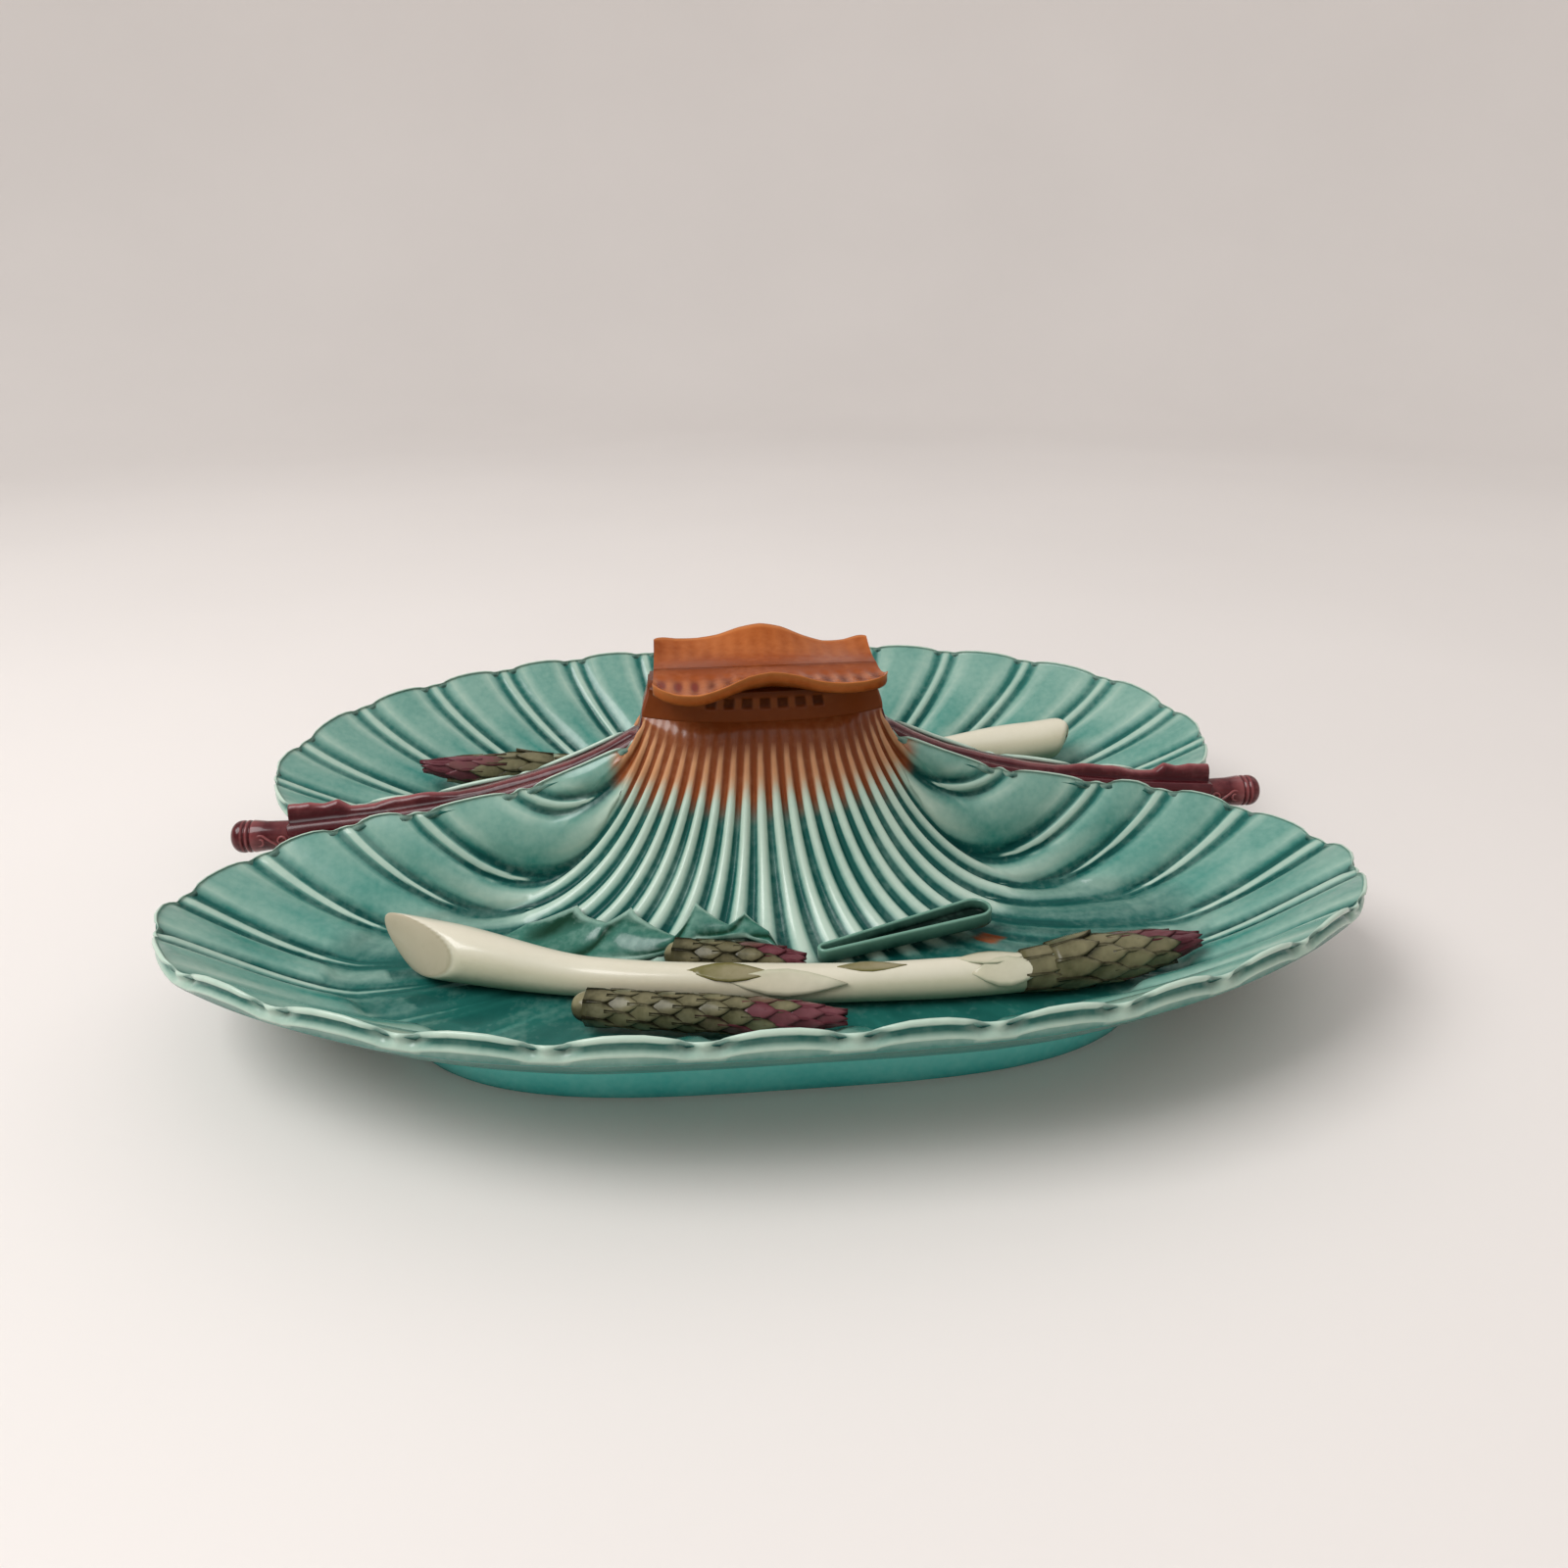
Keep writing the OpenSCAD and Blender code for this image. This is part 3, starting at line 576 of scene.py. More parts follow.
# The rim from the neck to its front middle: shares of the neck's half length, the half length, the reach,
# the rim height and the rise to the neck
OUTLINE_SHARES = np.array(
    [
        [1.0, 0.011, 0.000, 1.000, 0.72],
        [0.6, 0.221, 0.000, 1.000, 0.29],
        [0.2, 0.492, 0.000, 0.940, 0.05],
        [0.0, 0.724, 0.000, 0.863, 0.00],
        [0.0, 0.867, 0.049, 0.780, 0.00],
        [0.0, 0.950, 0.135, 0.735, 0.00],
        [0.0, 1.000, 0.343, 0.780, 0.00],
        [0.0, 0.928, 0.580, 0.885, 0.00],
        [0.0, 0.829, 0.706, 0.937, 0.00],
        [0.0, 0.696, 0.818, 0.968, 0.00],
        [0.0, 0.541, 0.909, 0.980, 0.00],
        [0.0, 0.365, 0.972, 0.990, 0.00],
        [0.0, 0.177, 0.997, 1.000, 0.00],
        [0.0, 0.000, 1.000, 1.000, 0.00],
    ]
)
VALLEY_SHARES = np.array([0, 0.087, 0.174, 0.26, 0.347, 0.434, 0.52, 0.59, 0.67, 0.74, 0.80, 0.89, 1])
# Cross section of a rib: how round a narrow and a wide one is, and their heights over the solids' ribs
NARROW_ROUND, WIDE_ROUND = 0.9, 2.6
NECK_TALL, RIM_TALL = 1.9, 1.05
NARROW_SUNK = 0.55
# Ribs start a little below the neck, and those of the flanks don't fade where the floor is flat
START_SHARE, FLANK_SHARE = 0.07, 0.42
FLANK_FROM, FLANK_WIDTH = 3.2, 3.0


@dataclass
class ShellForm:
    """The fan-shaped well of one shell: rib courses in plan and two falls in height.

    A place in the well is a rib number q, from -12 to 12, and a share v of that rib's course.
    """

    half_l: float = 181.0
    reach: float = 149.0
    rim_h: float = 47.5
    floor_h: float = 12.5
    wall: float = 5.0
    neck_fall_w: float = 66.0
    rim_fall_w: float = 52.0
    neck_h: float = 73.0
    neck_half_l: float = 40.0
    neck_reach: float = 15.5
    ridge_reach: float = 6.0
    rib_neck_h: float = 1.1
    rib_rim_h: float = 2.4
    thin_ridge_h: float = 1.6
    thin_ridge_span: float = 30.0
    rib_drift: float = 10.0
    valley_w: float = 4.3
    groove_d: float = 0.8
    line: np.ndarray = field(init=False)
    runs: np.ndarray = field(init=False)
    half_run: float = field(init=False)

    def __post_init__(self) -> None:
        """Lay out the rim as a run of points."""
        neck, length, reach, rim, climb = OUTLINE_SHARES.T
        half = np.stack(
            [
                self.neck_half_l * neck + self.half_l * length,
                self.ridge_reach + (self.reach - self.ridge_reach) * reach,
                self.rim_h * rim + (self.neck_h - self.rim_h) * climb,
            ],
            1,
        )
        marks = np.concatenate([half, (half * [-1, 1, 1])[-2::-1]])
        last = len(marks) - 1
        points = []
        for i in range(last):
            a, b, c, d = marks[max(i - 1, 0)], marks[i], marks[i + 1], marks[min(i + 2, last)]
            for k in range(STEPS_PER_POINT):
                t = k / STEPS_PER_POINT
                bend = (2 * a - 5 * b + 4 * c - d) * t**2 + (3 * b - a - 3 * c + d) * t**3
                p = 0.5 * (2 * b + (c - a) * t + bend)
                p[1] = max(p[1], self.ridge_reach)
                points.append(p)
        points.append(marks[last])
        self.line = np.array(points)
        steps = np.linalg.norm(np.diff(self.line, axis=0), axis=1)
        self.runs = np.concatenate([[0.0], np.cumsum(steps)])
        self.half_run = float(self.runs[(len(half) - 1) * STEPS_PER_POINT])

    def rim_at(self, run: np.ndarray) -> np.ndarray:
        """Return the rim's points at lengths along it."""
        return np.stack([np.interp(run, self.runs, self.line[:, a]) for a in range(3)], -1)

    def ridge_z(self, x: float) -> float:
        """Return the height of the straight ridge edge at a place along it."""
        part = self.line[: 4 * STEPS_PER_POINT + 1]
        return float(np.interp(x, part[:, 0], part[:, 2]))

    def neck_at(self, q: np.ndarray) -> np.ndarray:
        """Find where ribs start at the neck.

        Args:
            q: Rib numbers.

        Returns:
            Points.
        """
        a = NECK_TURN * q / RIBS
        drop = (1 - np.cos(a)) / (1 - math.cos(NECK_TURN))
        x = self.neck_half_l * np.sin(a) / math.sin(NECK_TURN)
        return np.stack([x, mix(self.neck_reach, self.ridge_reach, drop), self.neck_h + 0 * a], -1)

    def run_at(self, q: np.ndarray) -> np.ndarray:
        """Find where ribs arrive at the rim.

        Args:
            q: Rib numbers.

        Returns:
            Lengths along the rim.
        """
        way = np.interp(np.abs(q), np.arange(RIBS + 1), VALLEY_SHARES * self.half_run)
        drift = self.rib_drift * np.maximum(0, 1 - (2 * q / RIBS) ** 2) ** 2
        return self.half_run - np.sign(q) * way - drift

    def outward(self, q: np.ndarray) -> np.ndarray:
        """Find the way out of the rim at the ribs' ends.

        Args:
            q: Rib numbers.

        Returns:
            Directions in plan.
        """
        run = self.run_at(q)
        ahead = self.rim_at(run + self.wall) - self.rim_at(run - self.wall)
        return unit(np.stack([ahead[..., 1], -ahead[..., 0]], -1))

    def course(self, q: np.ndarray) -> tuple[np.ndarray, ...]:
        """Lay out the courses of ribs.

        Args:
            q: Rib numbers.

        Returns:
            The four course points in plan and the two end heights.
        """
        t = q / RIBS
        start, stop = self.neck_at(q), self.rim_at(self.run_at(q))
        out = self.outward(q)
        chord = stop[..., :2] - start[..., :2]
        reach = np.linalg.norm(chord, axis=-1, keepdims=True)
        lean = np.radians(LEAN_EVEN * t + LEAN_END * t**3)
        way = (GLANCE_SHARE * np.abs(t))[..., None]
        arrive = unit(mix(out, chord / np.maximum(reach, 1e-6), way))
        return (
            start[..., :2],
            start[..., :2] + LEAVE_SHARE * reach * np.stack([np.sin(lean), np.cos(lean)], -1),
            stop[..., :2] - ARRIVE_SHARE * reach * arrive,
            stop[..., :2],
            start[..., 2],
            stop[..., 2],
        )

    @staticmethod
    def plan(c: tuple[np.ndarray, ...], v: np.ndarray) -> np.ndarray:
        """Follow courses in plan.

        Args:
            c: Courses.
            v: Shares of the ribs' courses.

        Returns:
            Places in plan.
        """
        v = np.asarray(v, float)[..., None]
        u = 1 - v
        return u**3 * c[0] + 3 * u * u * v * c[1] + 3 * u * v * v * c[2] + v**3 * c[3]

    def base(self, q: np.ndarray, v: np.ndarray) -> np.ndarray:
        """Find points of the plain well.

        Args:
            q: Rib numbers.
            v: Shares of the ribs' courses.

        Returns:
            Points without the ribs' height.
        """
        q, v = np.broadcast_arrays(np.asarray(q, float), np.asarray(v, float))
        c = self.course(q)
        p = self.plan(c, v)
        whole = np.linalg.norm(c[3] - c[0], axis=-1)
        z = self.floor_h
        for end, fall, end_z in ((c[0], self.neck_fall, c[4]), (c[3], self.rim_fall, c[5])):
            near, far = fall(np.linalg.norm(p - end, axis=-1)), fall(whole)
            z = z + (end_z - self.floor_h) * (near - far) / (1 - far)
        return np.stack([p[..., 0], np.maximum(p[..., 1], self.ridge_reach), z], -1)

    def neck_fall(self, d: np.ndarray) -> np.ndarray:
        """Return the fall's share at a distance from the neck."""
        return np.maximum(0, 1 - (d / self.neck_fall_w) ** NECK_FALL_SHARE) ** NECK_FALL_POWER

    def rim_fall(self, d: np.ndarray) -> np.ndarray:
        """Return the fall's share at a distance from the rim."""
        return np.maximum(0, 1 - d / self.rim_fall_w) ** RIM_FALL_POWER

    def normal(self, q: np.ndarray, v: np.ndarray, e: float = 0.02) -> np.ndarray:
        """Find the upward normals of the plain well.

        Args:
            q: Rib numbers.
            v: Shares of the ribs' courses.
            e: Step at which slopes are taken.

        Returns:
            Normals.
        """
        a, b = self.base(np.maximum(q - e, -RIBS), v), self.base(np.minimum(q + e, RIBS), v)
        lo, hi = self.base(q, np.maximum(v - e, 0)), self.base(q, np.minimum(v + e, 1))
        n = unit(np.cross(b - a, hi - lo))
        return n * np.where(n[..., 2:] < 0, -1, 1)

    def span(self, q: np.ndarray, v: np.ndarray) -> np.ndarray:
        """Measure how wide ribs are.

        Args:
            q: Rib numbers.
            v: Shares of the ribs' courses.

        Returns:
            Widths in millimetres.
        """
        low, high = np.maximum(q - 0.5, -RIBS), np.minimum(q + 0.5, RIBS)
        chord = self.plan(self.course(high), v) - self.plan(self.course(low), v)
        return np.linalg.norm(chord, axis=-1) / (high - low)

    def under(self, q: np.ndarray, v: np.ndarray) -> np.ndarray:
        """Find points of the underside.

        Args:
            q: Rib numbers.
            v: Shares of the ribs' courses.

        Returns:
            Points below those places of the well.
        """
        q, v = np.broadcast_arrays(np.asarray(q, float), np.asarray(v, float))
        t = np.abs(q) / RIBS
        turn = np.radians(90 * t**1.5) * np.sign(q)
        level = -self.normal(q, v) * np.stack([1 + 0 * t, 1 - rise(t, 0.55, 0.3), 1 + 0 * t], -1)
        inward = np.stack([-np.sin(turn), -np.cos(turn), 0 * t], -1)
        down = np.array([0.0, 0.0, -1.0])
        w = v[..., None]
        u = 1 - w
        way = unit(u * u * inward + w * w * down + 2 * w * u * (1 - t[..., None] ** 6) * level)
        p = self.base(q, v) + self.wall * way
        p[..., 1] = np.maximum(p[..., 1], self.ridge_reach)
        p[..., 2] = np.minimum(p[..., 2], self.neck_h)
        return p

    def valley(self, q: np.ndarray, span: np.ndarray) -> tuple[np.ndarray, np.ndarray, np.ndarray]:
        """Measure the valleys between the ribs.

        Args:
            q: Rib numbers.
            span: Widths of the ribs.

        Returns:
            How grown a valley is, its half width and the distance from its middle in half widths.
        """
        phase = q - np.floor(q)
        half_w = np.maximum(self.valley_w * rise(span, 11.0, 15.0), 0.05)
        return rise(span, 15.0, 13.0), half_w, np.minimum(phase, 1 - phase) * span / half_w

    def moulding(self, q: np.ndarray, v: np.ndarray, span: np.ndarray, plain_z: np.ndarray) -> np.ndarray:
        """Return the height of the ribs over the plain well.

        Args:
            q: Rib numbers.
            v: Shares of the course.
            span: Widths of the ribs.
            plain_z: Heights of the plain well.

        Returns:
            Heights in millimetres, with rounded rib ends and a thin ridge in wide valleys.
        """
        phase = q - np.floor(q)
        grown, valley, near = self.valley(q, span)
        side = np.clip(np.abs(2 * phase - 1) / (1 - 2 * valley / span), 0, 1)
        wide = rise(span, 9.0, 14.0)
        narrow_arch = (0.5 + 0.5 * np.cos(math.pi * side)) ** NARROW_ROUND
        arch = mix(narrow_arch, np.maximum(0, 1 - side**WIDE_ROUND), wide)
        widened = rise(span, 0, 0.6 * self.thin_ridge_span)
        tall = mix(self.rib_neck_h * NECK_TALL, self.rib_rim_h * RIM_TALL, widened)
        sunk = NARROW_SUNK * (1 - wide)
        thin = self.thin_ridge_h * grown * smooth(1.2 - 2.0 * near) * (1 - rise(v, 0.94, 0.06))
        thin = thin - self.groove_d * grown * rise(near, 1.25, -0.4) * (1 - 0.7 * rise(v, 0.95, 0.05))
        climb = (plain_z - self.floor_h - 1.5 * side**2 - 0.1) / (0.05 * (self.rim_h - self.floor_h))
        flank = FLANK_SHARE * rise(np.abs(q), FLANK_FROM, FLANK_WIDTH)
        return (tall * arch - sunk + thin) * smooth(v / START_SHARE) * np.maximum(smooth(climb), flank)


# Places across a rib at which the well has points
PHASES = (
    0.0, 0.02, 0.04, 0.06, 0.085, 0.11, 0.14, 0.18, 0.25, 0.37,
    0.5, 0.63, 0.75, 0.82, 0.86, 0.89, 0.915, 0.94, 0.96, 0.98,
)
UNDER_SHARES = (0.985, 0.96, 0.93, 0.88, 0.8, 0.7, 0.6, 0.5, 0.4, 0.3, 0.22, 0.15, 0.08, 0.0)
UNDER_DARK = 0.25
# Edge of the rim from its crest down to its lower lip: inset, depth below the crest, crest and pool shares
RIM_EDGE = (
    (1.9, 0.0, 0.85, 0.0),
    (1.0, 0.1, 1.0, 0.0),
    (0.45, 0.45, 1.0, 0.0),
    (0.22, 1.1, 0.8, 0.0),
    (0.5, 1.8, 0.2, 0.45),
    (0.85, 2.6, 0.0, 0.6),
    (0.75, 3.4, 0.1, 0.45),
    (0.25, 4.2, 0.8, 0.0),
    (0.3, 4.8, 0.8, 0.0),
    (0.9, 5.2, 0.4, 0.0),
)
PIT_D, RECESS_D, SWELL_D = 2.1, 1.1, 1.2
# Small brown marks of the firing on the front shell: rib number, share of the course and their half widths
MARKS = ((5.72, 0.298, 0.28, 0.018), (-1.42, 0.992, 0.14, 0.01))
# How much lower the ribs run out towards the rim, on the rear shell and at the front one's two sides
REAR_SOFT, FRONT_SOFT = 0.45, 0.4
STAIN_START, STAIN_WIDTH, STAIN_ON_CREST = 7.0, 10.0, 3.5
# How pale the glaze is on narrow ribs, on the upper banks, beside a valley and on its thin ridge
RIDGE_PALE, HAZE_PALE, BANK_PALE, LINE_PALE = 0.92, 0.3, 0.62, 0.75
# How dark it is at the foot of the ribs, on the damp floor and in the grooves
FOOT_DARK, DAMP_DARK, DITCH_DARK = 0.95, 0.7, 0.95
# How quickly it thins where the surface bulges and pools where it dips
BULGE_PALE, DIP_DARK = 4.0, 3.0


@dataclass
class Shell(Piece):
    """One fluted shell with its rounded rim edge and its underside."""

    form: ShellForm
    side: Side
    rows: int = 104
    slot = "turquoise_glaze"

    def model(self) -> bpy.types.Object:
        """Build the shell.

        Returns:
            Its object, without its glaze.
        """
        form = self.form
        q1 = np.array([k + s for k in range(-RIBS, RIBS) for s in PHASES] + [float(RIBS)])
        chord = np.linalg.norm(form.course(q1)[3] - form.course(q1)[0], axis=-1)
        v = np.linspace(0, 1, self.rows)[None, :] * (1 - RIM_EDGE[0][0] / chord)[:, None]
        q = np.repeat(q1[:, None], self.rows, 1)
        base = form.base(q, v)
        span = form.span(q, v)
        soft = REAR_SOFT if self.side is Side.REAR else FRONT_SOFT * rise(np.abs(q), 5.5, 2.5)
        height = form.moulding(q, v, span, base[..., 2]) * (1 - soft * rise(v, 0.6, 0.35))
        way = unit(mix(form.normal(q, v), np.array([0, 0, 1.0]), (v * v)[..., None]))
        top = base + height[..., None] * way
        top[..., 1] = np.maximum(top[..., 1], form.ridge_reach)
        top[..., 2] = np.minimum(top[..., 2], form.neck_h)
        crest, pool = self.wear(q1, q, v, span, height, base[..., 2])
        pool = pool * (1 - 0.9 * soft * rise(v, 0.55, 0.4)) * (0.7 + 0.3 * rise(span, 4, 9))
        near_neck = np.linalg.norm(base[..., :2] - form.neck_at(q1)[:, None, :2], axis=-1)
        stain = 1 - rise(near_neck + STAIN_ON_CREST * crest, STAIN_START, STAIN_WIDTH)
        for mark_q, mark_v, half_q, half_v in MARKS if self.side is Side.FRONT else ():
            off = np.maximum(np.abs(q - mark_q) / half_q, np.abs(v - mark_v) / half_v)
            stain = np.maximum(stain, 1 - rise(off, 0.8, 0.5))

        edge, edge_crest, edge_pool = self.rim_edge(q1, top[:, -1], height[:, -1])
        under = form.under(q1[:, None], np.array(UNDER_SHARES)[None, :])
        plain = np.zeros(under.shape[:2])
        rings = np.concatenate([top, edge, under], 1)
        return build_loft(
            f"{self.side.label}_shell_glazed",
            half_turn(rings * MIRROR_Y, self.side),
            crest=[crest, edge_crest, plain],
            pool=[pool, edge_pool, plain + UNDER_DARK],
            stain=[stain, 0 * edge_crest, plain],
        )

    def wear(
        self,
        q1: np.ndarray,
        q: np.ndarray,
        v: np.ndarray,
        span: np.ndarray,
        height: np.ndarray,
        plain_z: np.ndarray,
    ) -> tuple[np.ndarray, np.ndarray]:
        """Return where the glaze runs thin, where it pools and where shade is painted on the ribs' sides.

        Args:
            q1: Rib numbers, one for each column.
            q: Rib numbers of the points.
            v: Shares of the course.
            span: Widths of the ribs.
            height: Heights of the ribs.
            plain_z: Heights of the plain well.

        Returns:
            The pale and the dark share of each point, from how the ribs bulge and dip, with painted shade on
            the ribs' sides towards the grooves.
        """
        step = np.diff(q1)[:, None] * 0.5 * (span[1:] + span[:-1])
        step = np.maximum(step, 1e-3)
        bend = np.zeros_like(height)
        bend[1:-1] = -np.diff(np.diff(height, axis=0) / step, axis=0) / (0.5 * (step[1:] + step[:-1]))
        bulge = bend.copy()
        bulge[1:-1] = 0.25 * bend[:-2] + 0.5 * bend[1:-1] + 0.25 * bend[2:]
        over = plain_z - self.form.floor_h
        side = np.abs(2 * (q1 - np.floor(q1)) - 1)[:, None]
        narrow = 1 - rise(span, 7.0, 18.0)
        flat = (1 - rise(over, 0.1, 1.1)) * (1 - 0.65 * rise(np.abs(q), FLANK_FROM, FLANK_WIDTH))
        ridge = narrow * rise(side, 0.68, -0.36) * rise(v, 0.012, 0.03)
        thin = smooth(bulge * BULGE_PALE - 0.25) * (1 - 0.3 * smooth(span / 40.0))
        crest = np.maximum(thin, RIDGE_PALE * ridge)
        # Painted shade on each rib's sides towards the grooves, less on wide ribs
        shade = rise(side, 0.4, 0.34) * mix(1.0, 0.5, rise(span, 9.0, 16.0))
        pool = np.maximum(smooth(-bulge * DIP_DARK), shade)
        centre = 1 - rise(np.abs(q), 6.5, 3.0)
        foot = centre * bell(over - 1.3 * side**2, 0.1, 0.75) * (v < 0.55)
        damp = DAMP_DARK * (1 - smooth(over / 6.0))
        pool = np.maximum(pool, np.maximum(FOOT_DARK * foot, damp))
        haze = HAZE_PALE * smooth(over / 22.0) * (1 - narrow) * (1 - side**3)
        crest = np.maximum(crest * (1 - 0.85 * foot), haze)
        grown, _, near = self.form.valley(q, span)
        crest = np.maximum(crest, BANK_PALE * grown * bell(near, 1.75, 0.55))
        line = grown * smooth(1.2 - 2.2 * near)
        ditch = grown * bell(near, 0.8, 0.33)
        crest = np.maximum(crest * (1 - ditch), LINE_PALE * line) * (1 - flat)
        pool = np.maximum(pool * (1 - line), DITCH_DARK * ditch)
        return crest, mix(np.clip(pool - 0.9 * crest, 0, 1), 0.5, 0.5 * flat)

    def rim_edge(
        self, q1: np.ndarray, start: np.ndarray, height: np.ndarray
    ) -> tuple[np.ndarray, np.ndarray, np.ndarray]:
        """Lay out the rounded, pitted edge of the rim.

        Args:
            q1: Rib numbers, one for each column.
            start: Last points of the well.
            height: Heights of the ribs at the rim.

        Returns:
            The edge's points, pale shares and dark shares.
        """
        form = self.form
        stop = form.base(q1, 1.0 + 0 * q1)
        out = form.outward(q1)
        wall = form.wall + height - SWELL_D * np.clip(height / form.rib_rim_h, 0, 1)
        phase = q1 - np.floor(q1)
        lobe = rise(np.minimum(phase, 1 - phase), 0.1, 0.16)
        grown, _, near = form.valley(q1, form.span(q1, 1.0 + 0 * q1))
        rows, crest, pool = [], [], []
        for inset, depth, pale, dark in RIM_EDGE:
            p = stop.copy()
            pit = grown * bell(near, 0.95, 0.55) * bell(depth, 1.6, 1.5)
            p[:, :2] -= (inset + PIT_D * pit + RECESS_D * lobe * bell(depth, 2.8, 0.9))[:, None] * out
            p[:, 2] += height - depth * wall / RIM_EDGE[-1][1]
            p[:, 1] = np.maximum(p[:, 1], form.ridge_reach)
            rows.append(p)
            crest.append(np.maximum(pale, 0.8 * (1 - lobe)) * (1 - 0.95 * pit))
            pool.append(np.clip(0.9 * dark * lobe + 0.95 * pit, 0, 1))
        rows[0] = 0.5 * (rows[0] + start)
        return np.stack(rows, 1), np.stack(crest, 1), np.stack(pool, 1)


@dataclass
class FootRing(Piece):
    """The low oval foot under both shells."""

    form: ShellForm
    half_l: float = 124.0
    reach: float = 111.0
    thick: float = 6.0
    draw: float = 2.0
    power: float = 3.4
    columns: float = 9.5
    band_d: float = 8.0
    sunk: float = 0.8
    round_r: float = 0.6
    slot = "teal_foot_glaze"

    def outline(self, inset: float) -> np.ndarray:
        """Find the oval line on the shells' undersides.

        Args:
            inset: How far it is drawn in.

        Returns:
            Points of the whole oval.
        """
        half_l, reach = self.half_l - inset, self.reach - inset
        q = np.linspace(-self.columns, self.columns, 153)
        lo, hi = np.full(len(q), 0.38), np.ones(len(q))
        for _ in range(24):
            mid = 0.5 * (lo + hi)
            p = np.abs(self.form.under(q, mid))
            out = (p[:, 0] / half_l) ** self.power + (p[:, 1] / reach) ** self.power > 1
            hi, lo = np.where(out, mid, hi), np.where(out, lo, mid)
        end_z = self.form.ridge_z(self.half_l) - self.band_d - 0.5
        half = np.vstack([self.form.under(q, 0.5 * (lo + hi)), [[half_l, 0, end_z]]]) * MIRROR_Y
        return np.vstack([half, half * BACK_HALF])

    def model(self) -> bpy.types.Object:
        """Build the foot ring.

        Returns:
            Its object, without its glaze.
        """
        inner, outer = self.outline(self.thick), self.outline(0.0)
        draw = 1 - self.draw / self.reach
        rows, crest, pool = [], [], []

        def wall_row(plan: np.ndarray, s: float, pale: float, dark: float) -> None:
            """Add one row of the wall.

            Args:
                plan: Points of the oval.
                s: Share of the height.
                pale: Pale share.
                dark: Dark share.
            """
            row = plan * [mix(draw, 1, s), mix(draw, 1, s), s] + [0, 0, self.sunk if s == 1.0 else 0]
            rows.append(row)
            crest.append(pale)
            pool.append(dark)

        for s in (1.0, 0.8, 0.6, 0.4, 0.2, 0.06):
            wall_row(outer, s, 0.35 * s, 0.8 * (1 - s) ** 2)
        for inset in (self.round_r, self.thick - self.round_r):
            wall_row(mix(outer, inner, inset / self.thick), 0.0, 0.7, 0.0)
        for s in (0.1, 0.6, 1.0):
            wall_row(inner, s, 0.1, 0.4)
        points = np.stack(rows, 1)
        n, m = points.shape[:2]
        faces = grid_faces(n, m, wrap_rows=True, wrap_cols=True)
        return build_mesh("foot_ring_glazed", points, faces, crest=np.tile(crest, n), pool=np.tile(pool, n))


# Height of a lip's edge along its length, as shares of the wave
WAVE_SHARES = (0.4, 0.0, -0.05, 0.3, 0.8, 1.0, 0.82, 0.46, 0.32, 0.35, 0.56)
# Rows of a lip's rounded edge: inset, drop and pale share
LIP_EDGE = ((0.0, 0.35, 1.0), (0.35, 1.0, 0.8), (0.5, 2.0, 0.3), (0.3, 3.0, 0.2), (0.8, 3.7, 0.2))
LIP_BACK_SHARES = (0.9, 0.75, 0.62, 0.58, 0.3, 0.0)
# Dark share of a lip's edge, and painted shade on its underside under the overhang
EDGE_DARK, UNDERSIDE_SHADE = 0.15, 0.7


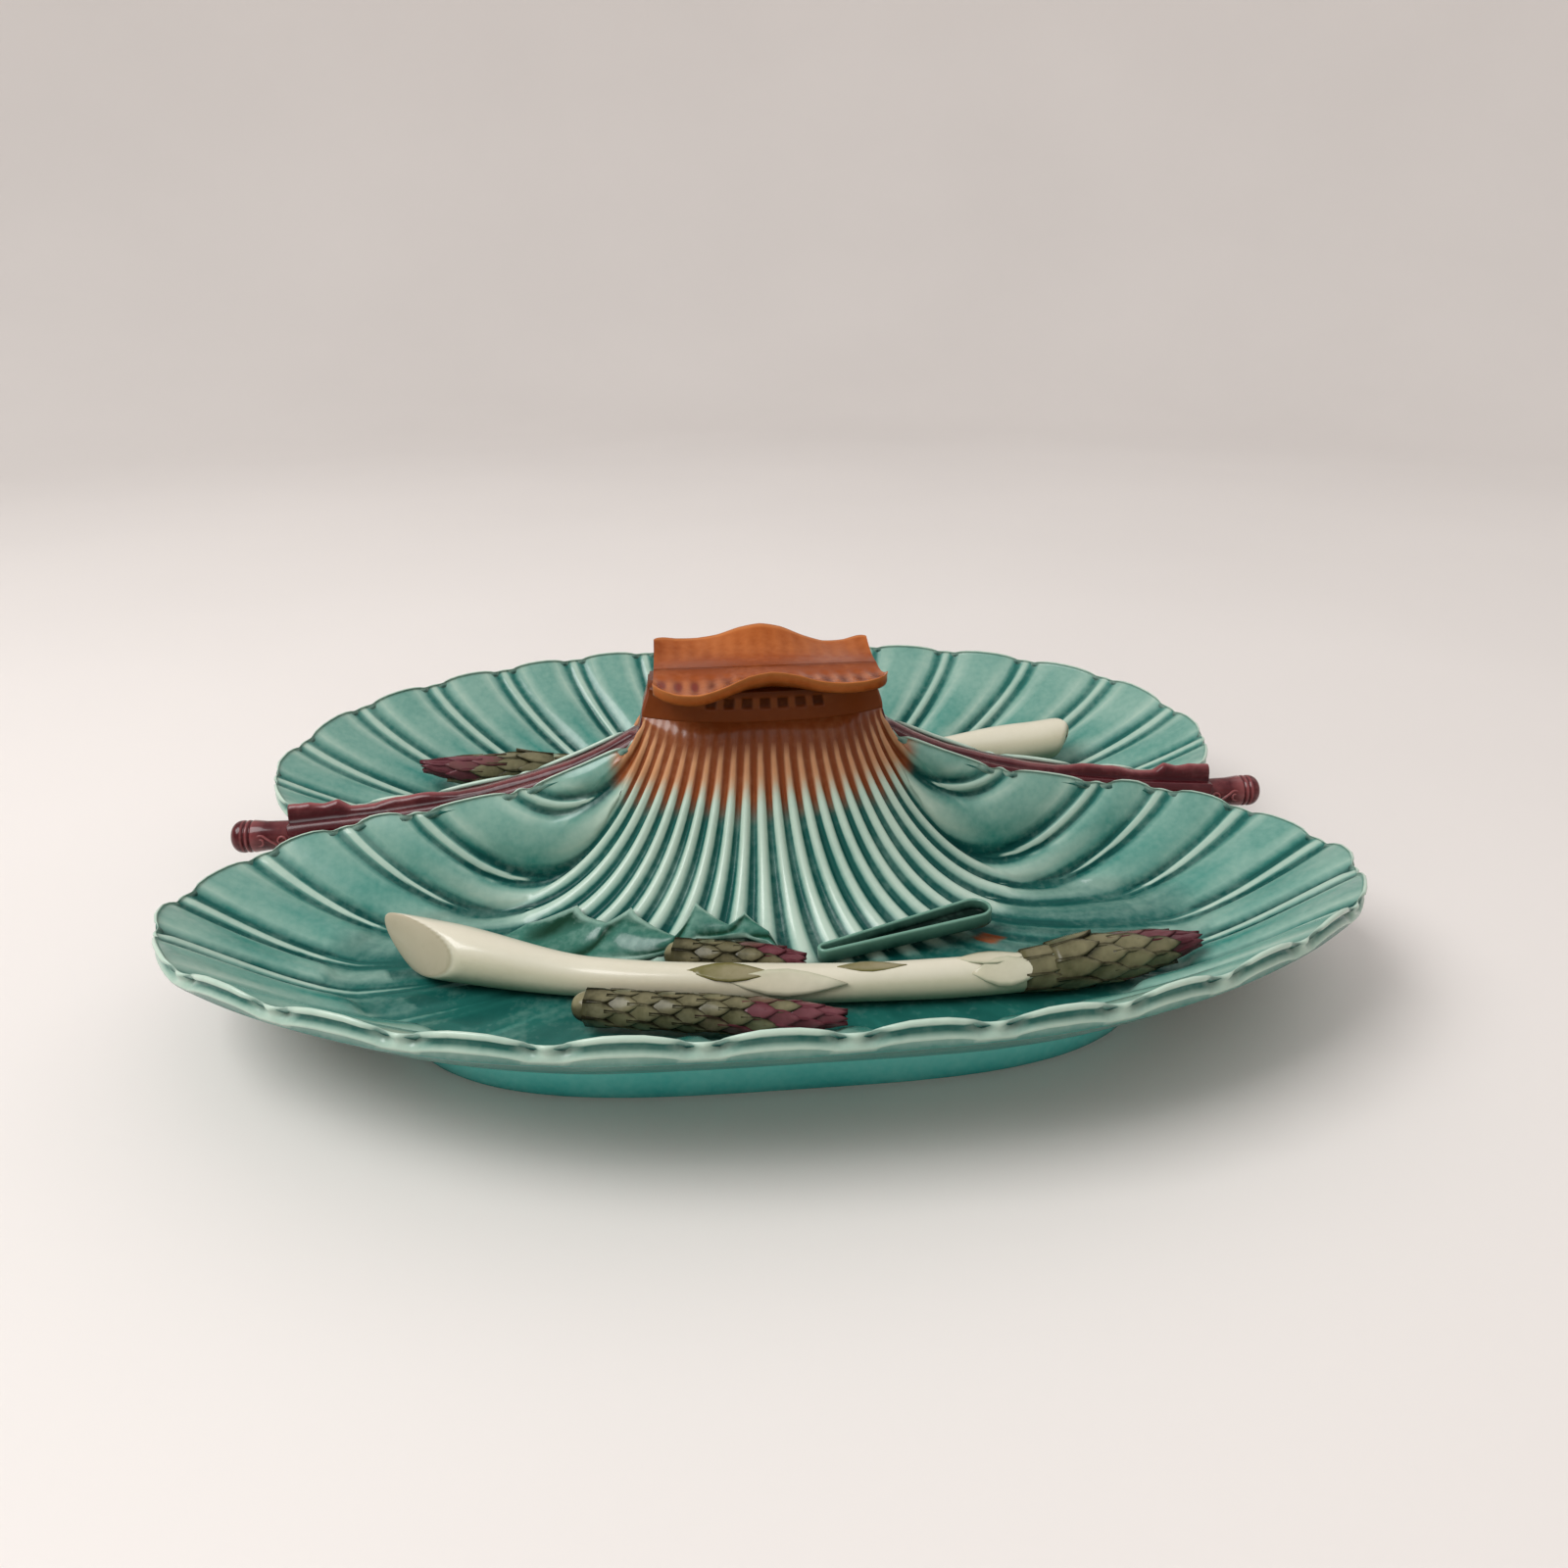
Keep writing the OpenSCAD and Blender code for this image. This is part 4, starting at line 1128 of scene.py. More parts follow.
@dataclass
class Lip(Piece):
    """One wavy, fluted lip of the handle."""

    side: Side
    half_l: float = 37.0
    reach: float = 27.0
    thick: float = 4.0
    valley_h: float = 3.5
    wave_h: float = 7.0
    off: float = 1.5
    block_top: float = 83.5
    neck_reach: float = 15.5
    dip: float = 0.8
    end_draw: float = 0.06
    wave_power: float = 1.8
    flutes: int = 14
    flute_h: float = 0.45
    rear_share: float = 0.35
    corner_r: float = 5.0
    slot = "amber_brown_glaze"

    def top(self, s: np.ndarray, t: np.ndarray) -> np.ndarray:
        """Find points of the lip's upper side.

        Args:
            s: Shares of its length.
            t: Shares of its reach.

        Returns:
            Points of the front lip.
        """
        marks = np.linspace(0, 1, len(WAVE_SHARES))
        rough = np.interp(s, marks, WAVE_SHARES)
        soft = sum(np.interp(s + d, marks, WAVE_SHARES) for d in (-0.04, -0.02, 0.02, 0.04)) / 4
        wave = self.wave_h * np.minimum(0.5 * (rough + soft), 0.98)
        from_end = np.clip(1 - 2 * self.half_l * np.minimum(s, 1 - s) / self.corner_r, 0, 1)
        out = self.reach * (1 - self.end_draw * (2 * s - 1) ** 4)
        out = out - self.corner_r * (1 - np.sqrt(1 - 0.96 * from_end**2))
        z = self.block_top + self.valley_h + wave * t**self.wave_power - self.dip * np.sin(math.pi * t)
        return np.stack([self.off + self.half_l * (2 * s - 1), -out * t, z], -1)

    def flute(self, s: np.ndarray, t: np.ndarray) -> np.ndarray:
        """Return the depth share of the flutes, 1 at their bottoms."""
        wave = 0.5 - 0.5 * np.cos(FULL_TURN * self.flutes * s)
        return wave**0.8 * rise(t, 0.18, 0.2) * (1 - rise(t, 0.86, 0.12))

    def model(self) -> bpy.types.Object:
        """Build the lip.

        Returns:
            Its object, without its glaze.
        """
        s1 = 0.5 - 0.5 * np.cos(math.pi * np.linspace(0, 1, 221))
        s, t = np.meshgrid(s1, np.linspace(0, 1, 30), indexing="ij")
        depth = self.flute(s, t) * (1.0 if self.side is Side.FRONT else self.rear_share)
        top = self.top(s, t) - self.flute_h * depth[..., None] * [0, 0, 1]
        inset, drop, pale = np.array(LIP_EDGE).T
        edge = self.top(s1, 1.0 + 0 * s1)[:, None] + np.stack([0 * inset, inset, -drop], -1)
        sb, tb = np.meshgrid(s1, LIP_BACK_SHARES, indexing="ij")
        low = self.top(sb, tb)
        hang = np.maximum(self.block_top - self.thick, low[..., 2] - mix(self.valley_h, self.thick, tb))
        low[..., 2] = np.where(low[..., 1] >= -self.neck_reach, self.block_top, hang)
        rings = np.concatenate([top, edge, low], 1)
        if self.side is Side.REAR:
            rings = rings * BACK_HALF + [2 * self.off, 0, 0]

        inner = 0.4 * (1 - depth) * rise(t, 0.25, 0.3) + rise(t, 0.93, 0.07)
        spots = depth**1.5 * bell(t, 0.6, 0.2)
        crease = 0.25 * bell(t, 0, 0.06) + 0.35 * (1 - smooth(t / 0.35))
        lip_edge = pale + 0 * s1[:, None]
        # The lip's underside is painted in shade
        return build_loft(
            f"{self.side.label}_lip_fluted",
            rings,
            crest=[inner, lip_edge, 0 * tb],
            pool=[np.maximum(0.9 * spots, crease), 0 * lip_edge + EDGE_DARK, 0 * tb + UNDERSIDE_SHADE],
            stain=[spots * rise(s, 0.27, -0.1), 0 * lip_edge, 0 * tb],
        )


@dataclass
class Block(Piece):
    """The block between the joined necks and the lips, with a row of small recesses under each lip."""

    form: ShellForm
    top_z: float = 83.5
    draw: float = 0.06
    recess_w: float = 4.2
    recess_pitch: float = 6.0
    recess_d: float = 0.9
    recesses: int = 7
    recess_from: float = 0.42
    recess_to: float = 0.74
    squared: float = 0.3
    tuck: float = 0.01
    slot = "amber_brown_glaze"

    def model(self) -> bpy.types.Object:
        """Build the block.

        Returns:
            Its object, without its glaze.
        """
        form = self.form
        half = form.neck_at(np.linspace(-RIBS, RIBS, 241)) * MIRROR_Y
        plan = np.vstack([half, half * BACK_HALF])
        side = np.sign(plan[:, 1])
        long = np.abs(plan[:, 0])
        place = np.abs((plan[:, 0] / self.recess_pitch + 0.5) % 1 - 0.5) * self.recess_pitch
        inside = rise(long, self.recesses * self.recess_pitch / 2, -1.5)
        inside = rise(place, self.recess_w / 2, -0.7) * inside
        rows, pool, crest = [], [], []
        # The first ring is drawn in a little, so that the block's lower edge stays inside the neck
        for t, tuck in [(0.0, self.tuck)] + [(t, 0.0) for t in np.linspace(0.0, 1.0, 23)]:
            ring = plan.copy()
            squared = mix(ring[:, 1], side * form.neck_reach, self.squared * smooth(t))
            ring[:, 1] = np.where(long < form.neck_half_l - 0.5, squared, ring[:, 1])
            upper = rise(t, self.recess_from, 0.06) * (1 - rise(t, self.recess_to, 0.06))
            ring[:, 1] -= side * self.recess_d * inside * upper
            ring[:, 0] *= 1 - self.draw * smooth(t) - tuck
            ring[:, 2] = mix(form.neck_h, self.top_z, t)
            rows.append(ring)
            # Painted shade in the recesses and on the top of the block under the lips
            pool.append(np.maximum(0.75 * inside * upper, 0.5 * rise(t, 0.7, 0.3)))
            crest.append(0.3 * (1 - inside * upper) * upper * rise(np.abs(ring[:, 0]), 24, -6))
        return build_loft("handle_block_smooth", np.stack(rows), pool=np.stack(pool), crest=np.stack(crest))


# Height of a band's crest along it: shares of its length and shares of the full height
CREST_PLACES = (0, 0.52, 0.6, 0.7, 0.76, 0.83, 0.86, 0.9, 0.94, 0.97, 1)
CREST_HEIGHTS = (0.2, 0.25, 0.55, 0.62, 0.4, 0.45, 0.9, 0.82, 1, 0.9, 0.95)
BAND_Y_SHARES = (-1, -0.8, -0.6, -0.44, -0.38, -0.3, -0.2, -0.1, 0, 0.1, 0.2, 0.3, 0.38, 0.44, 0.6, 0.8, 1)


@dataclass
class EndKnob(Piece):
    """The turned knob at the plate's end, with its ring lines."""

    side: Side
    start: float = 159.5
    z: float = 33.25
    radius: float = 5.5
    length: float = 20.0
    ring_w: float = 0.9
    ring_d: float = 0.5
    cap_l: float = 3.6
    slot = "maroon_glaze"

    def outline(self) -> np.ndarray:
        """Lay out the knob's half outline.

        Returns:
            Rows of distance along it, radius and pale share.
        """
        stem, r = self.length - self.cap_l, self.radius
        rows = [(0.0, r * 0.84, 0.2), (0.4, r * 0.87, 0.5), (stem * 0.5, r * 0.9, 0.1)]
        for k in (2, 1):
            a = stem - 2 * k * self.ring_w
            b = a + self.ring_w
            low = r - self.ring_d
            rows += [(a - 0.3, r, 0.9), (a, r - 0.1, 0.6), (a + 0.25, low, 0.0)]
            rows += [(b - 0.25, low, 0.0), (b, r - 0.1, 0.6), (b + 0.3, r, 0.9)]
        for w in np.radians(np.linspace(0, 85, 12)):
            rows.append((stem + self.cap_l * math.sin(w), r * math.cos(w) ** 0.7, 0.25 * math.sin(w)))
        return np.array(rows)

    def model(self) -> bpy.types.Object:
        """Build the knob.

        Returns:
            Its object, without its glaze.
        """
        along, r, pale = self.outline().T[..., None]
        turns = np.linspace(0, FULL_TURN, 64, endpoint=False)
        rings = np.stack([along + 0 * turns, r * np.cos(turns), r * np.sin(turns)], -1)
        points = np.vstack([rings.reshape(-1, 3), [[0, 0, 0], [self.length, 0, 0]]]) + [self.start, 0, self.z]
        crest = np.concatenate([(0.45 * pale + 0 * turns).ravel(), [0.0, 0.2]])
        name = f"{self.side.hand}_end_knob_turned"
        return build_mesh(name, half_turn(points, self.side), pole_faces(*rings.shape[:2]), crest=crest)


@dataclass
class RidgeBand(Piece):
    """The band along the ridge between the shells, with its narrow wavy crest."""

    form: ShellForm
    knob: EndKnob
    depth: float = 8.0
    crest_h: float = 6.0
    crest_w: float = 5.0
    slot = "maroon_glaze"

    def model(self) -> bpy.types.Object:
        """Build the band.

        Returns:
            Its object, without its glaze.
        """
        form, knob = self.form, self.knob
        path = form.rim_at(np.linspace(0, form.runs[3 * STEPS_PER_POINT], 31))[:, [0, 2]]
        neck_x = path[0, 0]
        inside = [[form.neck_half_l - self.crest_w, form.neck_h], [form.neck_half_l, form.neck_h]]
        path = np.vstack([inside, path, [knob.start, knob.z + knob.radius]])
        x = np.linspace(path[0, 0], knob.start, 260)[:, None]
        z = np.interp(x, path[:, 0], path[:, 1])
        tall = self.crest_h * np.interp((x - neck_x) / (x[-1] - neck_x), CREST_PLACES, CREST_HEIGHTS)
        tall = tall * rise(x, neck_x, 3.0) * (0.94 + 0.06 * np.sin(x * 0.45))
        y = np.array(BAND_Y_SHARES) * form.ridge_reach
        bead = np.sqrt(np.maximum(0, 1 - (y / (self.crest_w / 2)) ** 2)) ** 0.8
        top = np.stack([x + 0 * y, y + 0 * x, z + tall * bead], -1)
        bottom = z - mix(self.depth, 2 * knob.radius, rise(x, 150, 9.5))
        across = np.array([1, 0, -1]) * form.ridge_reach
        low = np.stack([x + 0 * across, across + 0 * x, bottom + 0 * across], -1)
        pale = bead**8 * mix(0.22, 0.55, rise(x, 100, 20))
        groove = 0.8 * (1 - rise(np.abs(np.abs(y) - 3.0), 0, 1.2)) + 0 * x
        plain = np.zeros(low.shape[:2])
        return build_loft(
            f"{knob.side.hand}_ridge_band_glazed",
            half_turn(np.concatenate([top, low], 1), knob.side),
            crest=[pale, plain],
            pool=[groove, plain],
        )


@dataclass
class Scroll(Piece):
    """Two small spirals joined by an S line on one face of an end knob."""

    knob: EndKnob
    face: float
    reach: float = 2.3
    turns: float = 1.4
    apart: float = 7.4
    line_r: float = 0.42
    sides: int = 10
    from_start: float = 6.2
    slot = "maroon_glaze"
    has_node = False

    def path(self) -> np.ndarray:
        """Lay out the scroll's centre line on the knob.

        Returns:
            Points of the line.
        """
        a = np.linspace(0, FULL_TURN * self.turns, 60)
        grow = mix(0.5, self.reach, a / a[-1])
        half = np.stack([-self.apart / 2 + grow * np.cos(a + math.pi), grow * np.sin(a + math.pi)], -1)
        join = mix(half[-1], -half[-1], np.linspace(0, 1, 12)[1:-1, None])
        flat = np.concatenate([half, join, -half[::-1]])
        r = self.knob.radius * 0.88
        x = self.knob.start + self.from_start + flat[:, 0] * 0.95
        angle = flat[:, 1] / r
        path = np.stack([x, self.face * r * np.cos(angle), self.knob.z + r * np.sin(angle)], -1)
        return half_turn(path, self.knob.side)

    def model(self) -> bpy.types.Object:
        """Build the scroll as a tube that is thinner at both ends.

        Returns:
            Its object, without its glaze.
        """
        path = self.path()
        ahead = unit(np.gradient(path, axis=0))
        side = unit(np.cross(ahead, np.array([0.0, 1.0, 0.02])))
        up = np.cross(side, ahead)
        w = np.linspace(0, FULL_TURN, self.sides, endpoint=False)[:, None]
        count = np.linspace(0, 8, len(path))
        thick = self.line_r * np.sqrt(np.clip(np.minimum(count, count[::-1]) + 0.05, 0, 1))
        ring = side[:, None] * np.cos(w) + up[:, None] * np.sin(w)
        points = path[:, None] + ring * thick[:, None, None]
        name = f"{self.knob.side.hand}_knob_scroll_{'a' if self.face < 0 else 'b'}"
        return build_loft(name, points, crest=np.full(points.shape[:2], 0.55))


# Bracts of a long spear: share along it, angle round it, length, width and olive share
BRACTS = (
    (-0.125, 112.0, 25.0, 6.5, 1.0),
    (0.055, 94.0, 20.0, 4.5, 1.0),
    (-0.075, 142.0, 34.0, 8.0, 0.0),
    (0.215, 138.0, 22.0, 9.0, 0.0),
    (0.2, 80.0, 22.0, 8.0, 0.25),
)
CUT_W = math.radians(160.0)
CUT_L = 25.0
CUT_LEAN = 0.33
BUTT_SHARE, SWELL_SHARE = 0.07, 0.19
BUTT_SHRINK, UNEVEN = 0.93, 0.02
TIP_POWER, TIP_ROUND = 3.6, 0.6
SCALE_OVERLAP, SCALE_SPREAD = 1.5, 1.28


@dataclass
class ScaleSpots:
    """Spots of scales: place, turn, size and stain."""

    places: list = field(default_factory=list)
    turns: list = field(default_factory=list)
    sizes: list = field(default_factory=list)
    stains: list = field(default_factory=list)

    def add(self, place: np.ndarray, turn: list[float], size: list[float], stain: float) -> None:
        """Add one spot.

        Args:
            place: Point before the spear is placed.
            turn: Turns about three axes.
            size: Length, width and height.
            stain: Share of the stain.
        """
        self.places.append(place)
        self.turns.append(turn)
        self.sizes.append(size)
        self.stains.append(stain)


@dataclass
class Spear(Piece):
    """One asparagus spear that lies in a well: an arc in plan, a stem and a scaly head."""

    name: str
    side: Side
    place: tuple[float, float, float]
    turn: float
    length: float
    butt: float
    stem: float
    head: float
    bow: float
    head_share: float
    lift: float
    scale_rows: int
    scales_round: int
    scaled_share: float = 0.0
    purple_from: float = 0.55
    bract_places: tuple = ()
    # Painted shade over the whole spear, for a short spear that lies in shade
    shade: float = 0.0
    pointed: float = 1.0

    @property
    def slot(self) -> str:
        """Return the slot of the stem: ivory for a long spear, khaki for a short one."""
        return "ivory_glaze" if self.bract_places else "khaki_glaze"

    def axis(self, s: np.ndarray) -> tuple[np.ndarray, np.ndarray]:
        """Return the centre line in plan and its heading at shares from -0.5 to 0.5."""
        centre = np.stack([self.length * s, -self.bow * (1 - 4 * s * s)], -1)
        return centre, np.arctan(8 * self.bow * s / self.length)

    def full_radius(self, s: np.ndarray) -> tuple[np.ndarray, np.ndarray]:
        """Measure the spear without its rounded tip.

        Args:
            s: Shares of its length from -0.5 to 0.5.

        Returns:
            Radii, and the share of the head that is passed.
        """
        t = np.clip((s + 0.5 - (1 - self.head_share)) / self.head_share, 0, 1)
        stem = mix(self.butt, self.stem, rise(s + 0.5, BUTT_SHARE, SWELL_SHARE)) / 2
        return np.where(t > 0, mix(self.stem, self.head, smooth(3 * t)) / 2, stem), t

    def radius(self, s: np.ndarray) -> np.ndarray:
        """Return the radius at shares from -0.5 to 0.5."""
        full, t = self.full_radius(s)
        return full * np.maximum(0, 1 - t**TIP_POWER) ** TIP_ROUND

    def rest_h(self, s: np.ndarray) -> np.ndarray:
        """Return the height of the lowest line, which lifts at both ends."""
        return self.lift * (2 * s) ** 6

    def centre_h(self, s: np.ndarray) -> np.ndarray:
        """Return the height of the centre line."""
        return self.full_radius(s)[0] + self.rest_h(s)

    def surface(self, s: np.ndarray, w: np.ndarray) -> np.ndarray:
        """Find points of the spear, before it is placed.

        Args:
            s: Shares of its length from -0.5 to 0.5.
            w: Angles round it.

        Returns:
            Points.
        """
        centre, turn = self.axis(s)
        r = self.radius(s)
        side = r * np.cos(w)
        z = np.maximum(self.centre_h(s) + r * np.sin(w), self.rest_h(s))
        return np.stack([centre[..., 0] - side * np.sin(turn), centre[..., 1] + side * np.cos(turn), z], -1)

    def placed(self, points: np.ndarray) -> np.ndarray:
        """Return the points turned and moved to where the spear lies."""
        return half_turn(turned_flat(points, self.turn) + np.array(self.place), self.side)

    def model(self) -> bpy.types.Object:
        """Build the spear's body, without its scales.

        Returns:
            Its object, without its glaze.
        """
        stem = -0.5 + (1 - self.head_share) * np.linspace(0, 1, 96) ** 1.6
        steps = np.concatenate([stem, np.linspace(0.5 - self.head_share, 0.497, 61)[1:]])
        s, a = np.meshgrid(steps, np.linspace(0, FULL_TURN, 48, endpoint=False), indexing="ij")
        from_butt = (s + 0.5) * self.length
        end_round = 0.9 if self.bract_places else 2.4
        uneven = 1 + UNEVEN * np.sin(from_butt * 0.11 + 2 * a)
        shrink = np.sqrt(1 - BUTT_SHRINK * np.exp(-from_butt / end_round)) * uneven
        middle = np.concatenate([self.axis(s)[0], self.centre_h(s)[..., None]], -1)
        points = mix(middle, self.surface(s, a), shrink[..., None])
        cut = np.zeros_like(s)
        if self.bract_places:
            lean = CUT_LEAN * self.pointed * self.butt * np.cos(a - 0.5 * CUT_W)
            points[..., 0] -= lean * np.exp(-from_butt / 7.0) * shrink
            way = np.array([0.0, math.cos(CUT_W), math.sin(CUT_W)])
            limit = self.butt / 2 * (1.3 * from_butt / (CUT_L * self.pointed) - 0.3)
            over = np.maximum(0, (points - middle) @ way - limit)
            points -= over[..., None] * way
            cut = smooth(over / 1.8)
        poles = [points[0].mean(0) - [0.3, 0, 0], points[-1].mean(0) + [0.4, 0, 0]]
        # Painted shade on the underside and painted light on the top of the stem; the head is darker and the
        # cut butt pale. A short spear adds painted shade all over.
        head = rise(s + 0.5, 1 - self.head_share, 0.03)
        dark = np.maximum(0.75 * rise(np.sin(a), 0.1, -0.6), head * 0.9) + self.shade
        pale = np.maximum(0.7 * rise(np.sin(a), 0.3, 0.6) * (1 - head), cut)
        return build_mesh(
            self.name + "_stem",
            self.placed(np.concatenate([points.reshape(-1, 3), poles])),
            pole_faces(*s.shape),
            pool=np.append(dark, [0.2 + self.shade, 0.9 + self.shade]),
            crest=np.append(pale, [0.5, 0]),
            stain=np.append(cut, [0, 0]),
        )

    def turn_at(self, s: float, w: float) -> tuple[np.ndarray, list[float]]:
        """Find how a scale lies that points forward.

        Args:
            s: Share of the spear's length from -0.5 to 0.5.
            w: Angle round it.

        Returns:
            Its place and its turns about three axes.
        """
        spot = self.surface(s, w)
        ahead = Vector(self.surface(s + 0.004, w) - spot).normalized()
        across = Vector(self.surface(s, w + 0.05) - spot).normalized()
        up = ahead.cross(across)
        if up.dot(Vector(spot - [*self.axis(s)[0], float(self.centre_h(s))])) < 0:
            up = -up
        turn = Matrix((ahead, up.cross(ahead), up)).transposed()
        whole = math.radians(self.turn) + (math.pi if self.side is Side.REAR else 0.0)
        return spot, list((Matrix.Rotation(whole, 3, "Z") @ turn).to_euler())

    def head_scales(self) -> ScaleSpots:
        """Lay out the head's scales, row by row towards the tip.

        Returns:
            Their spots.
        """
        found = ScaleSpots()
        share = max(self.head_share, self.scaled_share)
        for row in range(self.scale_rows):
            t = (row + 0.3) / self.scale_rows
            s = 0.5 - share * (1 - t * 0.93)
            girth = FULL_TURN * float(self.radius(s))
            length = self.length * share / self.scale_rows * SCALE_OVERLAP
            size = [length, girth / self.scales_round * SCALE_SPREAD, 1.0]
            for k in range(self.scales_round):
                w = FULL_TURN * (k + 0.5 * (row % 2)) / self.scales_round
                if self.surface(s, w)[2] > self.rest_h(s) + 0.2:
                    found.add(*self.turn_at(s, w), size, self.purple(row, k, t))
        return found

    def purple(self, row: int, k: int, t: float) -> float:
        """Return how purple a scale is: more towards the tip, and not all alike."""
        toss = math.sin(12.9898 * (row + 1) + 78.233 * (k + 1)) * 43758.5453
        return float(rise(t + 0.4 * (toss - math.floor(toss) - 0.5), self.purple_from, 0.3))

    def bracts(self) -> ScaleSpots:
        """Lay out the few bracts on the stem.

        Returns:
            Their spots.
        """
        found = ScaleSpots()
        for s, w, length, width, olive in self.bract_places:
            found.add(*self.turn_at(s, math.radians(w)), [length, width, 1.0], olive)
        return found


def scale_shape(name: str, pointed: float) -> bpy.types.Object:
    """Return one scale, one millimetre long and wide.

    Args:
        name: Name of the object.
        pointed: 1 where the base is as pointed as the tip, 0 where it is broad.

    Returns:
        The shape that Geometry Nodes repeats.
    """
    n = 7
    forth, across = np.meshgrid(np.linspace(0, 1, n), np.linspace(-1, 1, n), indexing="ij")
    tip = np.maximum(0, (forth - 0.45) / 0.55) ** 1.7
    base = np.maximum(0, (0.45 - forth) / 0.45) ** 1.7
    half = np.maximum(0.5 * (1 - tip) * (1 - pointed * base), 0.02)
    crown = (0.45 - 0.1 * pointed) * (1 - np.abs(across) ** 2.2) * (0.35 + 0.65 * forth)
    top = np.stack([forth, across * half, crown + 0.35 * forth * (1 - pointed)], -1)
    edge = np.maximum(np.abs(across) ** 3, forth**5)
    dark = 0.8 - 0.4 * pointed
    return build_mesh(
        name,
        np.stack([top, top * [1, 1, 0] + [0, 0, -0.5]]),
        sheet_faces(n, n),
        pool=np.stack([edge, 0 * edge + 1]) * dark,
        crest=np.stack([(1 - edge) * 0.6 * forth, 0 * edge]),
    )


def scale_tree() -> bpy.types.GeometryNodeTree:
    """Make the Geometry Nodes tree that sets one shape on every point of a mesh.

    Returns:
        The node group, with its inputs by name.
    """
    tree = bpy.data.node_groups.new("scales_on_points", "GeometryNodeTree")
    inputs = {"Geometry": "Geometry", "Shape": "Object", "Finish": "Material", "Growth": "Float"}
    for label, kind in inputs.items():
        tree.interface.new_socket(label, in_out="INPUT", socket_type=f"NodeSocket{kind}")
    tree.interface.new_socket("Geometry", in_out="OUTPUT", socket_type="NodeSocketGeometry")
    start, end = node(tree, "NodeGroupInput"), node(tree, "NodeGroupOutput")
    shape = node(tree, "GeometryNodeObjectInfo")
    place = node(tree, "GeometryNodeInstanceOnPoints")
    turn = node(tree, "GeometryNodeInputNamedAttribute", data_type="FLOAT_VECTOR")
    turn.inputs["Name"].default_value = "turn"
    size = node(tree, "GeometryNodeInputNamedAttribute", data_type="FLOAT_VECTOR")
    size.inputs["Name"].default_value = "size"
    as_rotation = node(tree, "FunctionNodeEulerToRotation")
    grow = node(tree, "ShaderNodeVectorMath", operation="SCALE")
    real = node(tree, "GeometryNodeRealizeInstances")
    paint = node(tree, "GeometryNodeSetMaterial")
    for source, target in (
        (start.outputs["Shape"], shape.inputs["Object"]),
        (start.outputs["Geometry"], place.inputs["Points"]),
        (shape.outputs["Geometry"], place.inputs["Instance"]),
        (turn.outputs[0], as_rotation.inputs[0]),
        (as_rotation.outputs[0], place.inputs["Rotation"]),
        (size.outputs[0], grow.inputs[0]),
        (start.outputs["Growth"], grow.inputs["Scale"]),
        (grow.outputs[0], place.inputs["Scale"]),
        (place.outputs[0], real.inputs[0]),
        (real.outputs[0], paint.inputs["Geometry"]),
        (start.outputs["Finish"], paint.inputs["Material"]),
        (paint.outputs[0], end.inputs[0]),
    ):
        tree.links.new(source, target)
    return tree


@dataclass
class ScaleRows:
    """Scales repeated by Geometry Nodes on a spear."""

    name: str
    spear: Spear
    spots: ScaleSpots
    tree: bpy.types.GeometryNodeTree
    shape: bpy.types.Object

    def build(self, material: bpy.types.Material) -> bpy.types.Object:
        """Return the scales as one plain mesh.

        Args:
            material: The scales' glaze.

        Returns:
            The finished object.
        """
        mesh = bpy.data.meshes.new("spots")
        mesh.from_pydata((self.spear.placed(np.array(self.spots.places)) * MM).tolist(), [], [])
        for key, values in (("turn", self.spots.turns), ("size", self.spots.sizes)):
            attribute = mesh.attributes.new(key, "FLOAT_VECTOR", "POINT")
            attribute.data.foreach_set("vector", np.array(values, np.float32).ravel())
        holder = link_object("spots", mesh)
        modifier = holder.modifiers.new("scales", "NODES")
        modifier.node_group = self.tree
        sockets = {s.name: s.identifier for s in self.tree.interface.items_tree if s.in_out == "INPUT"}
        for label, value in (("Shape", self.shape), ("Finish", material), ("Growth", 1.0)):
            modifier[sockets[label]] = value
        bpy.context.view_layer.update()
        shown = holder.evaluated_get(bpy.context.evaluated_depsgraph_get())
        plain = bpy.data.meshes.new_from_object(shown)
        bpy.data.objects.remove(holder)
        piece = link_object(self.name, plain)
        stain = np.repeat(self.spots.stains, len(self.shape.data.vertices)).astype(np.float32)
        plain.attributes["stain"].data.foreach_set("value", stain)
        # A short spear's scales carry the same painted shade as its stem
        pool = np.zeros(len(stain), np.float32)
        plain.attributes["pool"].data.foreach_get("value", pool)
        pool = np.clip(pool + self.spear.shade, 0, 1).astype(np.float32)
        plain.attributes["pool"].data.foreach_set("value", pool)
        return piece


# Stations along the leaf: rib share and course share of its back edge, then of its front edge
LEAF_STATIONS = np.array(
    [
        [-0.600, 0.380, -0.588, 0.385],
        [-0.660, 0.309, -0.535, 0.335],
        [-0.625, 0.212, -0.480, 0.310],
        [-0.493, 0.202, -0.420, 0.295],
        [-0.468, 0.167, -0.365, 0.280],
        [-0.275, 0.221, -0.275, 0.254],
        [-0.268, 0.160, -0.215, 0.232],
        [-0.141, 0.208, -0.145, 0.232],
        [-0.105, 0.188, -0.092, 0.236],
        [-0.036, 0.230, -0.042, 0.255],
        [-0.010, 0.275, -0.015, 0.280],
    ]
)
SPIKY = (1, 0.4, 1, 0, 1, 0, 1, 0, 1, 0, 1.0)


